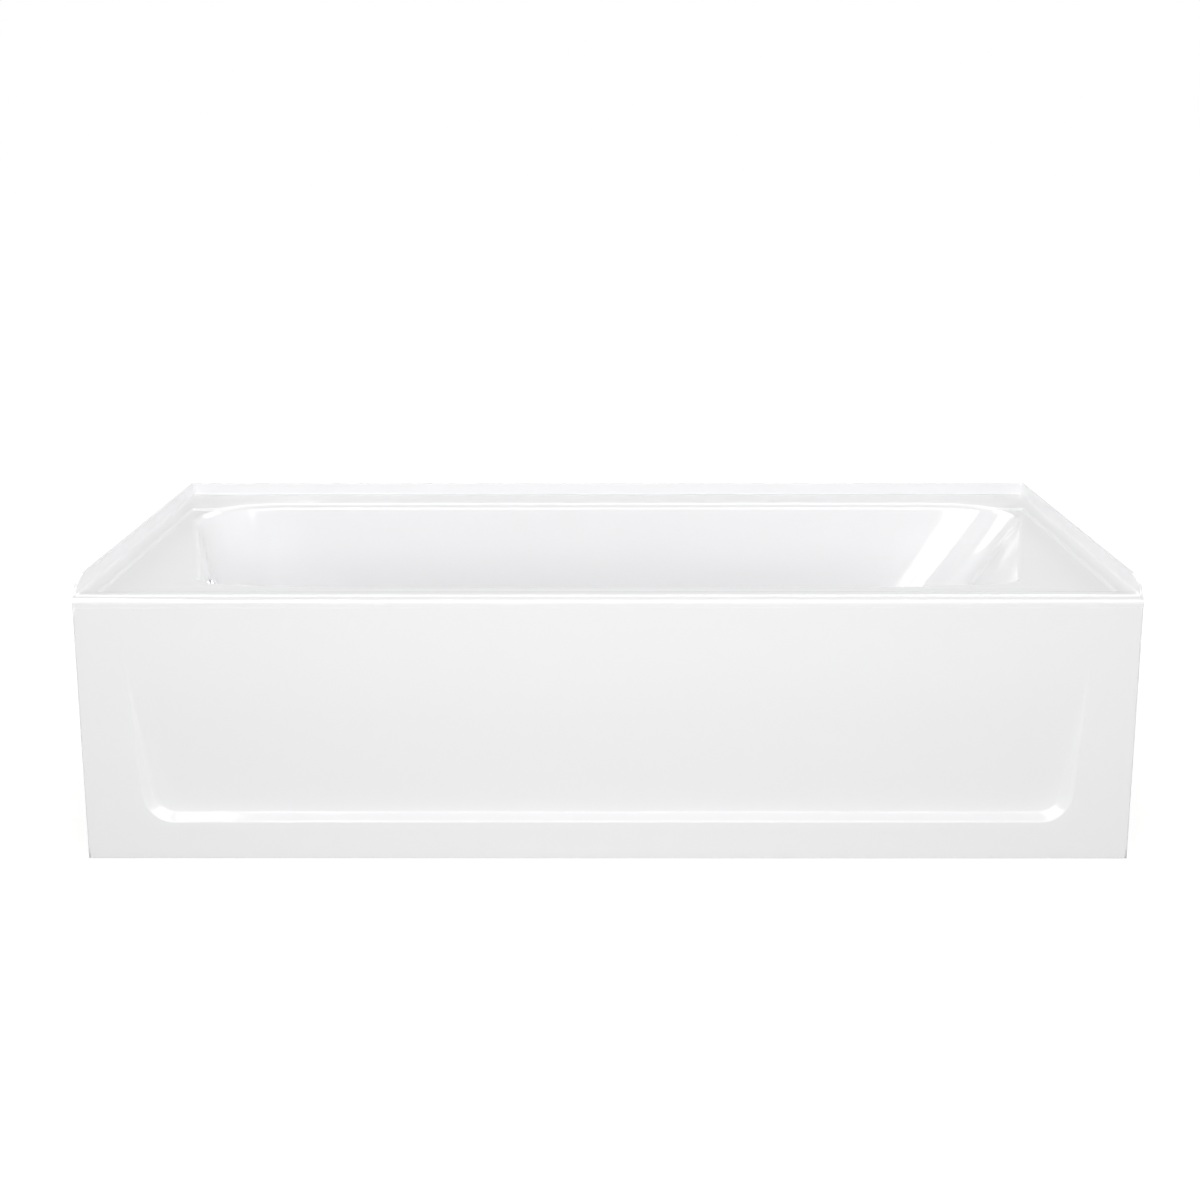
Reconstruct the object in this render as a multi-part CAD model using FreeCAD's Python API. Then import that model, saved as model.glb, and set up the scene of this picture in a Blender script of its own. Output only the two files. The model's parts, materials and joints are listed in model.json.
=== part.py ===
"""Alcove bathtub: moulded shell with apron, its frame and feet, and a pop-up waste with overflow.

Millimetres. X runs along the bath, Y from the apron to the back wall, Z up.
The origin is on the floor, below the centre of the footprint. The drain is at the -X end.
"""
import FreeCAD
import Part
import math
import os

V = FreeCAD.Vector
X_AXIS = V(1, 0, 0)
Y_AXIS = V(0, 1, 0)
Z_AXIS = V(0, 0, 1)

# ---- overall ----
length = 1524.0
width = 812.8
ledge_height = 394.5          # raised ledge behind the front roll and inside the tile flange
flange_height = 21.5          # the tile flange stands this far above the ledge
deck_step = 3.0               # the deck round the basin lies this much lower
skin = 4.0                    # moulded acrylic
backing = 4.0                 # sprayed glass fibre
bond_line = 0.3               # joint between the shell and the apron

# ---- deck ----
side_ledge = 31.0
front_ledge = 33.0
back_ledge = 138.0            # the step line at the back corners
front_roll = 13.5
roll_lip = 3.0                # the moulding ends this far below its front roll
rim_roll = 14.0               # roll from the deck into the basin
flange_thickness = 4.0
flange_fillet = 4.0
flange_corner = 6.0
flange_root = 9.5             # where the flange starts, behind the apron face
flange_knee = 20.0            # its front end rises steeply to here,
flange_knee_drop = 8.7
flange_full = 58.0            # and reaches full height here
flange_end_bulge = 1.2        # rise of its arcs over their chords

# ---- basin, at the deck's level, before the rim is rolled ----
front_margin = 81.4           # apron face to front wall
back_margin = 94.2
left_margin = 97.0            # drain end, on the basin's middle line
right_margin = 91.5           # backrest end
middle_line = -6.4            # Y at which the two end margins are measured
splay = math.radians(12.3)    # the end walls splay outwards to the back
drain_end_slope = 0.24        # run per rise
backrest_slope = 0.74
side_slope = 0.14
front_corner_lead = 988.0     # each corner is a wide arc and then a tight one
front_corner_lead_turn = math.radians(13.0)
front_corner_top = 38.0
front_corner_low = 100.0
back_corner_lead = 488.0
back_corner_lead_turn = math.radians(8.0)
back_corner_top = 116.0
back_corner_low = 110.0
floor_height = 84.0           # at the drain
floor_fall = 0.0105
floor_cove = 60.0             # fillet between walls and floor

# ---- apron ----
apron_return = 30.0           # depth of its end returns
apron_edge = 3.0
apron_backing_lift = 3.0      # the backing stops this far above the floor
recess_bottom = 56.0
recess_end_margin = 87.0      # end of the bath to the recess, at its lower edge
recess_lean = 0.0624          # the sides spread by this much per rise
recess_corner = 45.0
recess_low_bevel = 0.97       # run of the lower bevel per depth
recess_side_bevel = 1.5       # run of the side bevels per depth
panel_drop = 84.5             # the panel leaves the face this far below the ledge
panel_bend = 1500.0
panel_tilt = math.radians(3.5)

# ---- timber ----
rail_thickness = 20.0
rail_height = 45.0
rail_chamfer = 3.0            # clears the inside of the front roll
foot_rail_height = 36.0
foot_rail_clearance = 4.0
ledge_rail_height = 40.0
upright_thickness = 20.0
upright_width = 45.0
upright_count = 4
upright_end_inset = 47.0      # end of the bath to the middle of the last upright
board_thickness = 12.0
board_drain_clearance = 70.0
board_margin = 14.0
bearer_width = 60.0
bearer_bottom = 34.0
bearer_inset = 50.0
bearer_end_gap = 56.0         # bearer ends to the apron face and to the back

# ---- levelling feet ----
foot_inset = 32.0
foot_stem_radius = 6.0
foot_stem_spare = 6.0         # how far it stands above its insert
foot_hole_spare = 0.6
foot_hole_depth_spare = 2.0
pad_radius = 25.0
pad_thickness = 7.0
pad_boss_radius = 11.0
pad_boss_height = 6.0
pad_floor = 3.0
insert_radius = 9.0
insert_depth = 16.0
insert_flange_radius = 15.0
insert_flange = 2.0
lock_nut_flats = 19.0
lock_nut_height = 8.0
running_gap = 0.05
rest_gap = 0.3

# ---- screws ----
screw_radius = 2.5
screw_head_radius = 5.0
screw_head_height = 3.0
screw_head_crown = 1.8
screw_bite = 8.0
screw_spacing = 120.0

# ---- waste ----
drain_setback = 282.0         # drain centre to the outside of the drain end
dish_radius = 42.0
dish_depth = 3.0
drain_flange_radius = 36.5
drain_flange = 2.5
putty = 1.0
throat_radius = 20.0
barrel_radius = 22.0
barrel_length = 25.0
hub_radius = 7.0
hub_height = 6.0
spoke_width = 3.0
gasket_thickness = 3.0
shoe_wall = 5.0
shoe_flange_radius = 33.0
shoe_flange = 4.0
shoe_bottom_wall = 5.0
pipe_height = 40.0            # centre of the shoe tube
pipe_radius = 19.0
pipe_wall = 2.0
tee_radius = 23.0
tee_bottom = 4.0
tee_reach = 43.0
tee_top = 38.0                # above the shoe tube's centre
socket_depth = 20.0
slip_gap = 0.1
nut_flats = 56.0
nut_engagement = 10.0
nut_lip = 4.0
washer_thickness = 3.0

# ---- overflow ----
overflow_height = 285.0
overflow_reach = 50.0         # wall face to the riser's axis, along the head
elbow_bend = 26.0
overflow_hole = 27.0
head_flange_radius = 36.0
head_flange = 5.0
overflow_gasket_thickness = 4.0
plate_radius = 40.0
plate_height = 5.0
plate_thickness = 2.0
plate_edge_wall = 3.0
plate_slot_length = 28.0
plate_slot_width = 8.0
plate_slot_corner = 3.6
plate_screw_offset = 22.0

# ---- lever and linkage ----
stopper_lift = 12.0
fulcrum_to_drain = 100.0
rocker_wire = 2.0
rocker_rise = 15.0
rocker_knee = 16.0
rocker_pad_radius = 8.0
rocker_pad_thickness = 3.0
lever_arm = 26.0
lever_drop = 1.5              # pivot below the elbow's corner
lever_thickness = 4.0
lever_depth = 6.0
lever_reach = 64.0
paddle_length = 24.0
paddle_width = 13.0
paddle_depth = 5.0
paddle_edge = 1.2
paddle_lap = 2.0              # the lever's bar runs this far into the paddle
pin_radius = 1.5
pin_head_radius = 2.7
pin_head = 1.0
bracket_sheet = 1.5
bracket_clearance = 1.0
bracket_end = 6.0             # beyond its screws
bracket_rim = 3.0             # beyond the lever's slot
ear_radius = 5.0
fork_sheet = 1.5
fork_gap = 0.5
fork_half_width = 4.0
fork_head = 3.2               # pin to the top of its cheeks
fork_base = 6.0               # pin to the block below it
fork_block = 5.0
slot_play = 1.6
rod_radius = 2.5
striker_radius = 9.0
striker_length = 34.0
striker_edge = 2.25
rod_nut_flats = 10.0
rod_nut_height = 4.0
lift_gap = 0.4

# ---- stopper ----
stopper_radius = 25.0
stopper_rim = 2.0
stopper_crown = 3.0
stem_radius = 4.0
seal_clearance = 0.5
seal_thickness = 3.0

clear = 1.0                   # cutting shapes run this far past what they cut

# ---- worked out ----
half_length = length / 2
front = -width / 2
back = width / 2
deck_height = ledge_height - deck_step
flange_top = ledge_height + flange_height
apron_top = ledge_height - front_roll - roll_lip
panel_top = ledge_height - panel_drop
wall = skin + backing
drain_x = -half_length + drain_setback
floor_angle = math.atan(floor_fall)
dish_floor = floor_height - dish_depth
lean = math.atan(drain_end_slope * math.cos(splay))


# ---- general shapes ----
def box(x0, x1, y0, y1, z0, z1):
    return Part.makeBox(x1 - x0, y1 - y0, z1 - z0, V(x0, y0, z0))


def rod(radius, start, end):
    return Part.makeCylinder(radius, (end - start).Length, start, end - start)


def ring(outer, inner, start, end):
    return rod(outer, start, end).cut(rod(inner, start, end))


def hexagon(flats, start, end):
    """A hexagonal prism from start to end, with two corners along the horizontal."""
    prism_axis = end - start
    reach = flats / math.sqrt(3)
    corners = []
    for k in range(7):
        angle = math.radians(60 * k)
        corners.append(V(reach * math.cos(angle), reach * math.sin(angle), 0))
    prism = Part.Face(Part.makePolygon(corners)).extrude(V(0, 0, prism_axis.Length))
    prism.Placement = FreeCAD.Placement(start, FreeCAD.Rotation(Z_AXIS, prism_axis))
    return prism


def joined(shapes):
    whole = shapes[0]
    for shape in shapes[1:]:
        whole = whole.fuse(shape)
    return whole.removeSplitter()


def group(shapes):
    return Part.makeCompound(shapes)


# ---- basin ----
def sloped(slope):
    return math.sqrt(1 + slope * slope)


def end_wall_x(margin, slope, y, z, grow):
    """Distance of an end wall from the middle of the bath, with the wall moved out by grow."""
    splay_run = (y - middle_line) * math.tan(splay)
    move = grow * math.sqrt(1 + math.tan(splay) ** 2 + slope ** 2)
    return half_length - margin + splay_run - slope * (deck_height - z) + move


def corner_steps(lead, lead_turn, tight, turn):
    """Points of a corner, from its straight side: a wide arc, then a tight one."""
    steps = []
    for angle in (0, lead_turn / 2, lead_turn, (lead_turn + turn) / 2, turn):
        first = min(angle, lead_turn)
        run = lead * math.sin(first) + tight * (math.sin(angle) - math.sin(first))
        rise = lead * (1 - math.cos(first)) + tight * (math.cos(first) - math.cos(angle))
        steps.append((run, rise))
    return steps


def corner_radius(top, low, z, grow):
    return top + (low - top) * (deck_height - z) / (deck_height - floor_height) + grow


def corner_points(sign, margin, slope, line_y, inward, steps, z, grow):
    end_run, end_rise = steps[-1]
    wall_x = end_wall_x(margin, slope, line_y + inward * end_rise, z, grow)
    return [V(sign * (wall_x - end_run + run), line_y + inward * rise, z) for run, rise in steps]


def basin_outline(z, grow):
    """The basin's outline at a height, with its walls moved out by grow."""
    front_y = front + front_margin + side_slope * (deck_height - z) - grow * sloped(side_slope)
    back_y = back - back_margin - side_slope * (deck_height - z) + grow * sloped(side_slope)
    front_tight = corner_radius(front_corner_top, front_corner_low, z, grow)
    back_tight = corner_radius(back_corner_top, back_corner_low, z, grow)
    near_turn = math.pi / 2 - splay
    far_turn = math.pi / 2 + splay
    near = corner_steps(front_corner_lead + grow, front_corner_lead_turn, front_tight, near_turn)
    far = corner_steps(back_corner_lead + grow, back_corner_lead_turn, back_tight, far_turn)
    ends = ((1, right_margin, backrest_slope), (-1, left_margin, drain_end_slope))
    (right_near, right_far), (left_near, left_far) = [
        (corner_points(sign, margin, slope, front_y, 1, near, z, grow),
         corner_points(sign, margin, slope, back_y, -1, far, z, grow))
        for sign, margin, slope in ends]
    curves = [Part.LineSegment(left_near[0], right_near[0])]
    curves += corner_arcs(right_near)
    curves.append(Part.LineSegment(right_near[4], right_far[4]))
    curves += corner_arcs(right_far[::-1])
    curves.append(Part.LineSegment(right_far[0], left_far[0]))
    curves += corner_arcs(left_far)
    curves.append(Part.LineSegment(left_far[4], left_near[4]))
    curves += corner_arcs(left_near[::-1])
    return Part.Wire([curve.toShape() for curve in curves])


def corner_arcs(points):
    return [Part.Arc(*points[0:3]), Part.Arc(*points[2:5])]


def floor_block(drop, thickness, x0, x1, y0, y1):
    """A slab whose top lies this far below the basin's floor, square to it."""
    slab = box(x0 - drain_x, x1 - drain_x, y0, y1, -drop - thickness, -drop)
    slab.rotate(V(0, 0, 0), Y_AXIS, -math.degrees(floor_angle))
    slab.translate(V(drain_x, 0, floor_height))
    return slab


def basin_void(grow):
    """The hollow of the basin, with its surface moved out by grow."""
    below = floor_height - floor_cove / 2
    above = flange_top
    hollow = Part.makeLoft([basin_outline(below, grow), basin_outline(above, grow)], True, True)
    hollow = hollow.cut(floor_block(grow, floor_height, -length, length, -width, width))
    floor_edges = [edge for edge in hollow.Edges if edge.BoundBox.ZMax < floor_height + floor_cove]
    hollow = hollow.makeFillet(floor_cove + grow, floor_edges)
    dish = rod(dish_radius + grow, V(drain_x, 0, dish_floor - grow), V(drain_x, 0, floor_height + clear))
    return hollow.fuse(dish)


def flat_edges(solid, z):
    """Edges that lie in a level plane."""
    return [edge for edge in solid.Edges
            if abs(edge.BoundBox.ZMin - z) < 1e-3 and abs(edge.BoundBox.ZMax - z) < 1e-3]


def moulded_block(grow, level, hollow):
    """Everything below the bath's surface moved down by grow, for one level of the deck."""
    top = level - grow
    face = front + grow
    block = box(-half_length, half_length, face, back, 0, top).cut(hollow)
    rim = [edge for edge in flat_edges(block, top)
           if abs(edge.CenterOfMass.x) < half_length - clear
           and face + clear < edge.CenterOfMass.y < back - clear]
    block = block.makeFillet(rim_roll - grow, rim)
    nose = [edge for edge in flat_edges(block, top) if edge.BoundBox.YMax < face + clear]
    return block.makeFillet(front_roll - grow, nose)


def deck_pocket(grow):
    return box(-half_length + side_ledge - grow, half_length - side_ledge + grow,
               front + front_ledge - grow, back - back_ledge + grow, -clear, flange_top)


def surface_block(grow):
    """The moulding's surface moved down by grow: ledge outside, lower deck inside."""
    hollow = basin_void(grow)
    outside = moulded_block(grow, ledge_height, hollow).cut(deck_pocket(grow))
    inside = moulded_block(grow, deck_height, hollow).common(deck_pocket(grow))
    return outside.fuse(inside)


def layer(outer, inner):
    """One layer of the moulding, without what lies below the joint with the apron."""
    below_joint = box(-length, length, front - clear, front + front_ledge, -clear, apron_top + bond_line)
    return outer.copy().cut([inner.copy(), below_joint, drain_hole(), overflow_cut()])


def tile_flange():
    """The upstand on the left, back and right, with a fillet at its foot."""
    bottom = ledge_height - skin
    band = flange_thickness + flange_fillet + clear
    block = box(-half_length, half_length, front, back, bottom, flange_top)
    core = box(-half_length + band, half_length - band, front - clear, back - band,
               bottom - clear, flange_top + clear)
    tray = box(-half_length + flange_thickness, half_length - flange_thickness,
               front - 2 * flange_full, back - flange_thickness, ledge_height, flange_top + clear)
    corners = [edge for edge in tray.Edges
               if edge.BoundBox.ZLength > clear and edge.BoundBox.YMin > 0]
    tray = tray.makeFillet(flange_corner, corners)
    foot = [edge for edge in flat_edges(tray, ledge_height) if edge.BoundBox.YMax > front - flange_full]
    tray = tray.makeFillet(flange_fillet, foot)
    return block.cut(core).cut(tray).cut(flange_end_cut())


def flange_end_cut():
    """What is taken off the front ends of the flange: a steep arc, then a long one."""
    root = V(-length, front + flange_root, ledge_height)
    knee = V(-length, front + flange_knee, flange_top - flange_knee_drop)
    full = V(-length, front + flange_full, flange_top)
    above = V(-length, front + flange_full, flange_top + clear)
    before = V(-length, front - clear, flange_top + clear)
    low = V(-length, front - clear, ledge_height)
    steep = bulged(root, knee, flange_end_bulge)
    gentle = bulged(knee, full, flange_end_bulge)
    straight = Part.makePolygon([full, above, before, low, root])
    return Part.Face(Part.Wire([steep, gentle] + straight.Edges)).extrude(V(2 * length, 0, 0))


def bulged(start, end, height):
    """An arc in the YZ plane from start to end that rises by a height over its chord."""
    chord = end - start
    normal = V(0, -chord.z, chord.y).normalize()
    return Part.Arc(start, (start + end) / 2 + normal * height, end).toShape()


# ---- apron ----
def recess_outline(depth, grow):
    """The U of the recess at a depth behind the face; its bevels narrow it."""
    low_inset = recess_low_bevel * depth - grow * sloped(recess_low_bevel)
    side_inset = recess_side_bevel * depth - grow * sloped(recess_side_bevel)
    y = front + depth
    low = recess_bottom + low_inset
    high = panel_top + recess_corner
    turn = math.pi / 2 + math.atan(recess_lean)
    radius = recess_corner - (low_inset + side_inset) / 2
    setback = radius * math.tan((math.pi - turn) / 2)
    lean_length = sloped(recess_lean)

    def side_x(z):
        across = recess_end_margin + side_inset * lean_length
        return half_length - across + recess_lean * (z - recess_bottom)

    def side_point(sign, z):
        return V(sign * side_x(z), y, z)

    corner_x = side_x(low)
    rise = setback / lean_length
    bisector = V(-math.cos(turn / 2), 0, math.sin(turn / 2))
    curves = [Part.LineSegment(V(-corner_x + setback, y, low), V(corner_x - setback, y, low))]
    ends = []
    for sign in (1, -1):
        flat_end = V(sign * (corner_x - setback), y, low)
        side_end = side_point(sign, low + rise)
        away = radius / math.sin(turn / 2) - radius
        middle = V(sign * (corner_x + bisector.x * away), y, low + bisector.z * away)
        ends.append((flat_end, middle, side_end))
    (right_flat, right_mid, right_side), (left_flat, left_mid, left_side) = ends
    curves.append(Part.Arc(right_flat, right_mid, right_side))
    curves.append(Part.LineSegment(right_side, side_point(1, high)))
    curves.append(Part.LineSegment(side_point(1, high), side_point(-1, high)))
    curves.append(Part.LineSegment(side_point(-1, high), left_side))
    curves.append(Part.Arc(left_side, left_mid, left_flat))
    return Part.Wire([curve.toShape() for curve in curves])


def panel_front(grow):
    """The space in front of the recessed panel, which bends back from the face and then runs straight."""
    face = front + grow
    bend_z = panel_top - panel_bend * math.sin(panel_tilt)
    bend_y = face + panel_bend * (1 - math.cos(panel_tilt))
    mid_z = panel_top - panel_bend * math.sin(panel_tilt / 2)
    mid_y = face + panel_bend * (1 - math.cos(panel_tilt / 2))
    foot_y = bend_y + bend_z * math.tan(panel_tilt)
    before = front - 2 * clear
    top = panel_top + 2 * recess_corner
    bend = Part.Arc(V(-length, face, panel_top), V(-length, mid_y, mid_z), V(-length, bend_y, bend_z))
    rest = Part.makePolygon([V(-length, bend_y, bend_z), V(-length, foot_y, 0), V(-length, before, 0),
                             V(-length, before, top), V(-length, face, top), V(-length, face, panel_top)])
    return Part.Face(Part.Wire([bend.toShape()] + rest.Edges)).extrude(V(2 * length, 0, 0))


def recess(grow):
    prism = Part.makeLoft([recess_outline(-clear, grow), recess_outline(apron_return, grow)], True, True)
    return prism.common(panel_front(grow))


def apron_block(grow):
    block = box(-half_length + grow, half_length - grow, front + grow, front + apron_return, 0, apron_top)
    if grow == 0:
        edges = [edge for edge in block.Edges
                 if edge.BoundBox.ZLength > clear and edge.BoundBox.YMax < front + clear]
        block = block.makeFillet(apron_edge, edges)
    return block.cut(recess(grow))


def below_apron_backing():
    return box(-length, length, front - clear, 0, -clear, apron_backing_lift)


# ---- frame ----
def apron_rails():
    inner = front + wall
    ends = half_length - wall
    under_deck = deck_height - wall
    top_rail = box(-ends, ends, inner, inner + rail_thickness, under_deck - rail_height, under_deck)
    corner = [edge for edge in flat_edges(top_rail, under_deck) if edge.BoundBox.YMax < inner + clear]
    top_rail = top_rail.makeChamfer(rail_chamfer, corner)
    foot_rail = box(-ends, ends, inner, inner + rail_thickness,
                    foot_rail_clearance, foot_rail_clearance + foot_rail_height)
    return top_rail, foot_rail


def upright_positions():
    outer = half_length - upright_end_inset
    return [outer * (2 * k / (upright_count - 1) - 1) for k in range(upright_count)]


def apron_upright(x):
    behind = front + wall + rail_thickness
    return box(x - upright_width / 2, x + upright_width / 2, behind, behind + upright_thickness,
               foot_rail_clearance, deck_height - wall)


def ledge_rails():
    """Strips under the ledges, flush with the outside of the tile flange."""
    top = ledge_height - wall
    low = top - ledge_rail_height
    start = front + apron_return
    inner = half_length - rail_thickness
    left = box(-half_length, -inner, start, back, low, top)
    right = box(inner, half_length, start, back, low, top)
    rear = box(-inner, inner, back - rail_thickness, back, low, top)
    return left, right, rear


def flat_floor():
    """Extent of the flat underside of the moulded floor: x0, x1, y0, y1."""
    z = floor_height
    reach = floor_cove + wall
    side_setback = reach * math.tan((math.pi / 2 - math.atan(side_slope)) / 2)
    rest_setback = reach * math.tan((math.pi / 2 - math.atan(backrest_slope)) / 2)
    y0 = front + front_margin + side_slope * (deck_height - z) + side_setback + board_margin
    y1 = back - back_margin - side_slope * (deck_height - z) - side_setback - board_margin
    x1 = end_wall_x(right_margin, backrest_slope, y0, z, 0) - rest_setback - 2 * board_margin
    return drain_x + board_drain_clearance, x1, y0, y1


def bearer_positions():
    x0, x1, _, _ = flat_floor()
    first = x0 + bearer_inset
    last = x1 - bearer_inset
    return first, (first + last) / 2, last


def board_under(x):
    """Height of the base board's underside."""
    return floor_height - (wall + board_thickness) / math.cos(floor_angle) + (x - drain_x) * floor_fall


def bearer_span():
    return front + bearer_end_gap, back - bearer_end_gap


def screw_places():
    """Each bearer's screws, between the edges of the board."""
    _, _, y0, y1 = flat_floor()
    count = int((y1 - y0 - bearer_width) // screw_spacing) + 1
    middle = (y0 + y1) / 2
    ys = [middle + (k - (count - 1) / 2) * screw_spacing for k in range(count)]
    return [(x, y) for x in bearer_positions() for y in ys]


def bearer_screw(x, y):
    tip = board_under(x) + screw_bite
    shank = rod(screw_radius, V(x, y, bearer_bottom), V(x, y, tip))
    head = Part.makeCone(screw_head_radius, screw_radius, screw_head_height, V(x, y, bearer_bottom))
    return shank.fuse(head).removeSplitter()


def base_board(screws):
    return floor_block(wall, board_thickness, *flat_floor()).cut(screws)


def cross_bearer(x, screws):
    y0, y1 = bearer_span()
    bearer = box(x - bearer_width / 2, x + bearer_width / 2, y0, y1, bearer_bottom, floor_height)
    bearer = bearer.cut(floor_block(0, wall + board_thickness, -length, length, -width, width))
    holes = [foot_hole(fx, fy) for fx, fy in foot_places()]
    return bearer.cut(group(holes)).cut(screws)


# ---- levelling feet ----
def foot_places():
    first, _, last = bearer_positions()
    y0, y1 = bearer_span()
    return [(x, y) for x in (first, last) for y in (y0 + foot_inset, y1 - foot_inset)]


def foot_stem_top():
    return bearer_bottom + insert_depth + foot_stem_spare


def foot_hole(x, y):
    """Stepped hole in a bearer for the insert and, above it, the end of the stem."""
    wide = rod(insert_radius, V(x, y, bearer_bottom - clear), V(x, y, bearer_bottom + insert_depth))
    narrow = rod(foot_stem_radius + foot_hole_spare, V(x, y, bearer_bottom),
                 V(x, y, foot_stem_top() + foot_hole_depth_spare))
    return wide.fuse(narrow)


def foot_insert(x, y):
    barrel = rod(insert_radius, V(x, y, bearer_bottom), V(x, y, bearer_bottom + insert_depth))
    flange = rod(insert_flange_radius, V(x, y, bearer_bottom - insert_flange), V(x, y, bearer_bottom))
    return barrel.fuse(flange).cut(stem_bore(x, y)).removeSplitter()


def stem_bore(x, y):
    return rod(foot_stem_radius + running_gap, V(x, y, pad_floor), V(x, y, floor_height))


def foot_lock_nut(x, y):
    top = bearer_bottom - insert_flange
    return hexagon(lock_nut_flats, V(x, y, top - lock_nut_height), V(x, y, top)).cut(stem_bore(x, y))


def foot_stem(x, y):
    return rod(foot_stem_radius, V(x, y, pad_floor + rest_gap), V(x, y, foot_stem_top()))


def foot_pad(x, y):
    plate = rod(pad_radius, V(x, y, 0), V(x, y, pad_thickness))
    plate = plate.makeChamfer(pad_thickness / 3, flat_edges(plate, pad_thickness))
    boss = rod(pad_boss_radius, V(x, y, pad_thickness / 2), V(x, y, pad_thickness + pad_boss_height))
    return plate.fuse(boss).cut(stem_bore(x, y)).removeSplitter()


# ---- waste ----
def at_drain(z):
    return V(drain_x, 0, z)


def drain_hole():
    return rod(barrel_radius + running_gap, at_drain(0), at_drain(floor_height + clear))


def drain_levels():
    """Heights of the drain's flange bottom, its top, and the end of its barrel."""
    bottom = dish_floor + putty
    return bottom, bottom + drain_flange, bottom - barrel_length


def drain_body():
    """Flange and barrel, with a hub on four spokes that guides the stopper's stem."""
    bottom, top, end = drain_levels()
    flange = rod(drain_flange_radius, at_drain(bottom), at_drain(top))
    flange = flange.makeFillet(drain_flange / 2, flat_edges(flange, top))
    barrel = rod(barrel_radius, at_drain(end), at_drain(bottom))
    shell = flange.fuse(barrel).cut(rod(throat_radius, at_drain(end), at_drain(top)))
    spokes = []
    spoke_reach = (throat_radius + barrel_radius) / 2
    for angle in (0, 90):
        bar = box(-spoke_reach, spoke_reach, -spoke_width / 2, spoke_width / 2, end, end + hub_height)
        bar.rotate(V(0, 0, 0), Z_AXIS, angle)
        bar.translate(at_drain(0))
        spokes.append(bar)
    hub = rod(hub_radius, at_drain(end), at_drain(end + hub_height))
    guide = rod(stem_radius + running_gap, at_drain(0), at_drain(top))
    return joined([shell, hub] + spokes).cut(guide)


def drain_seals():
    bottom, _, _ = drain_levels()
    underside = dish_floor - wall
    ring_above = ring(drain_flange_radius, barrel_radius, at_drain(dish_floor), at_drain(bottom))
    gasket_low = at_drain(underside - gasket_thickness)
    gasket = ring(shoe_flange_radius, barrel_radius, gasket_low, at_drain(underside))
    return ring_above, gasket


def on_pipe(x):
    return V(x, 0, pipe_height)


def drain_shoe():
    """Elbow under the drain, in one piece with its tube to the tee."""
    top = dish_floor - wall - gasket_thickness
    _, _, barrel_end = drain_levels()
    bore = pipe_radius - pipe_wall
    bottom = pipe_height - bore
    cup = rod(barrel_radius + shoe_wall, at_drain(bottom - shoe_bottom_wall), at_drain(top))
    flange = rod(shoe_flange_radius, at_drain(top - shoe_flange), at_drain(top))
    tube = rod(pipe_radius, on_pipe(drain_x), on_pipe(riser_x() + tee_reach - socket_depth))
    seat = rod(barrel_radius + running_gap, at_drain(barrel_end), at_drain(top))
    hollow = rod(throat_radius, at_drain(bottom), at_drain(top))
    channel = rod(bore, on_pipe(drain_x), on_pipe(riser_x()))
    return joined([cup, flange, tube]).cut(seat).cut(hollow).cut(channel)


def at_riser(z):
    return V(riser_x(), 0, z)


def waste_tee():
    top = pipe_height + tee_top
    end = riser_x() + tee_reach
    bore = pipe_radius - pipe_wall
    socket = pipe_radius + slip_gap
    body = rod(tee_radius, at_riser(tee_bottom), at_riser(top))
    branch = rod(tee_radius, at_riser(pipe_height), on_pipe(end))
    tee = joined([body, branch])
    tee = tee.cut(rod(bore, at_riser(0), at_riser(top)))
    tee = tee.cut(rod(bore, on_pipe(riser_x()), on_pipe(end)))
    tee = tee.cut(rod(socket, at_riser(tee_bottom), at_riser(tee_bottom + socket_depth)))
    tee = tee.cut(rod(socket, at_riser(top - socket_depth), at_riser(top)))
    return tee.cut(rod(socket, on_pipe(end - socket_depth), on_pipe(end)))


def slip_joint(mouth, direction):
    """The nut and its washer on one mouth of the tee."""
    washer_end = mouth + direction * washer_thickness
    start = mouth - direction * nut_engagement
    end = washer_end + direction * nut_lip
    nut = hexagon(nut_flats, start, end)
    nut = nut.cut(rod(tee_radius + running_gap, start, washer_end))
    nut = nut.cut(rod(pipe_radius + 2 * slip_gap, start, end))
    washer = ring(tee_radius - slip_gap, pipe_radius + slip_gap, mouth, washer_end)
    return nut, washer


def slip_joints():
    upper = slip_joint(at_riser(pipe_height + tee_top), Z_AXIS)
    side = slip_joint(on_pipe(riser_x() + tee_reach), X_AXIS)
    return group([upper[0], side[0]]), group([upper[1], side[1]])


# ---- overflow ----
# The head is modelled at the elbow's corner: x towards the basin, z up. Then it is turned by the
# splay of the wall and set on the riser's axis. Its axis leans up, square to the wall.
head_axis = V(math.cos(lean), 0, math.sin(lean))
head_up = V(-math.sin(lean), 0, math.cos(lean))


def elbow_height():
    return overflow_height - overflow_reach * math.sin(lean)


def riser_x():
    run = overflow_reach * math.cos(lean)
    wall_x = -end_wall_x(left_margin, drain_end_slope, run * math.sin(splay), overflow_height, 0)
    return wall_x - run * math.cos(splay)


def at_head(shape):
    """Puts a shape of the overflow head in its place."""
    shape = shape.copy()
    shape.rotate(V(0, 0, 0), Z_AXIS, math.degrees(splay))
    shape.translate(at_riser(elbow_height()))
    return shape


def along_head(distance):
    """A point on the head's axis, by its distance in front of the wall's face."""
    return head_axis * (overflow_reach + distance)


def overflow_cut():
    return at_head(rod(overflow_hole, along_head(-2 * wall), along_head(wall)))


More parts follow.
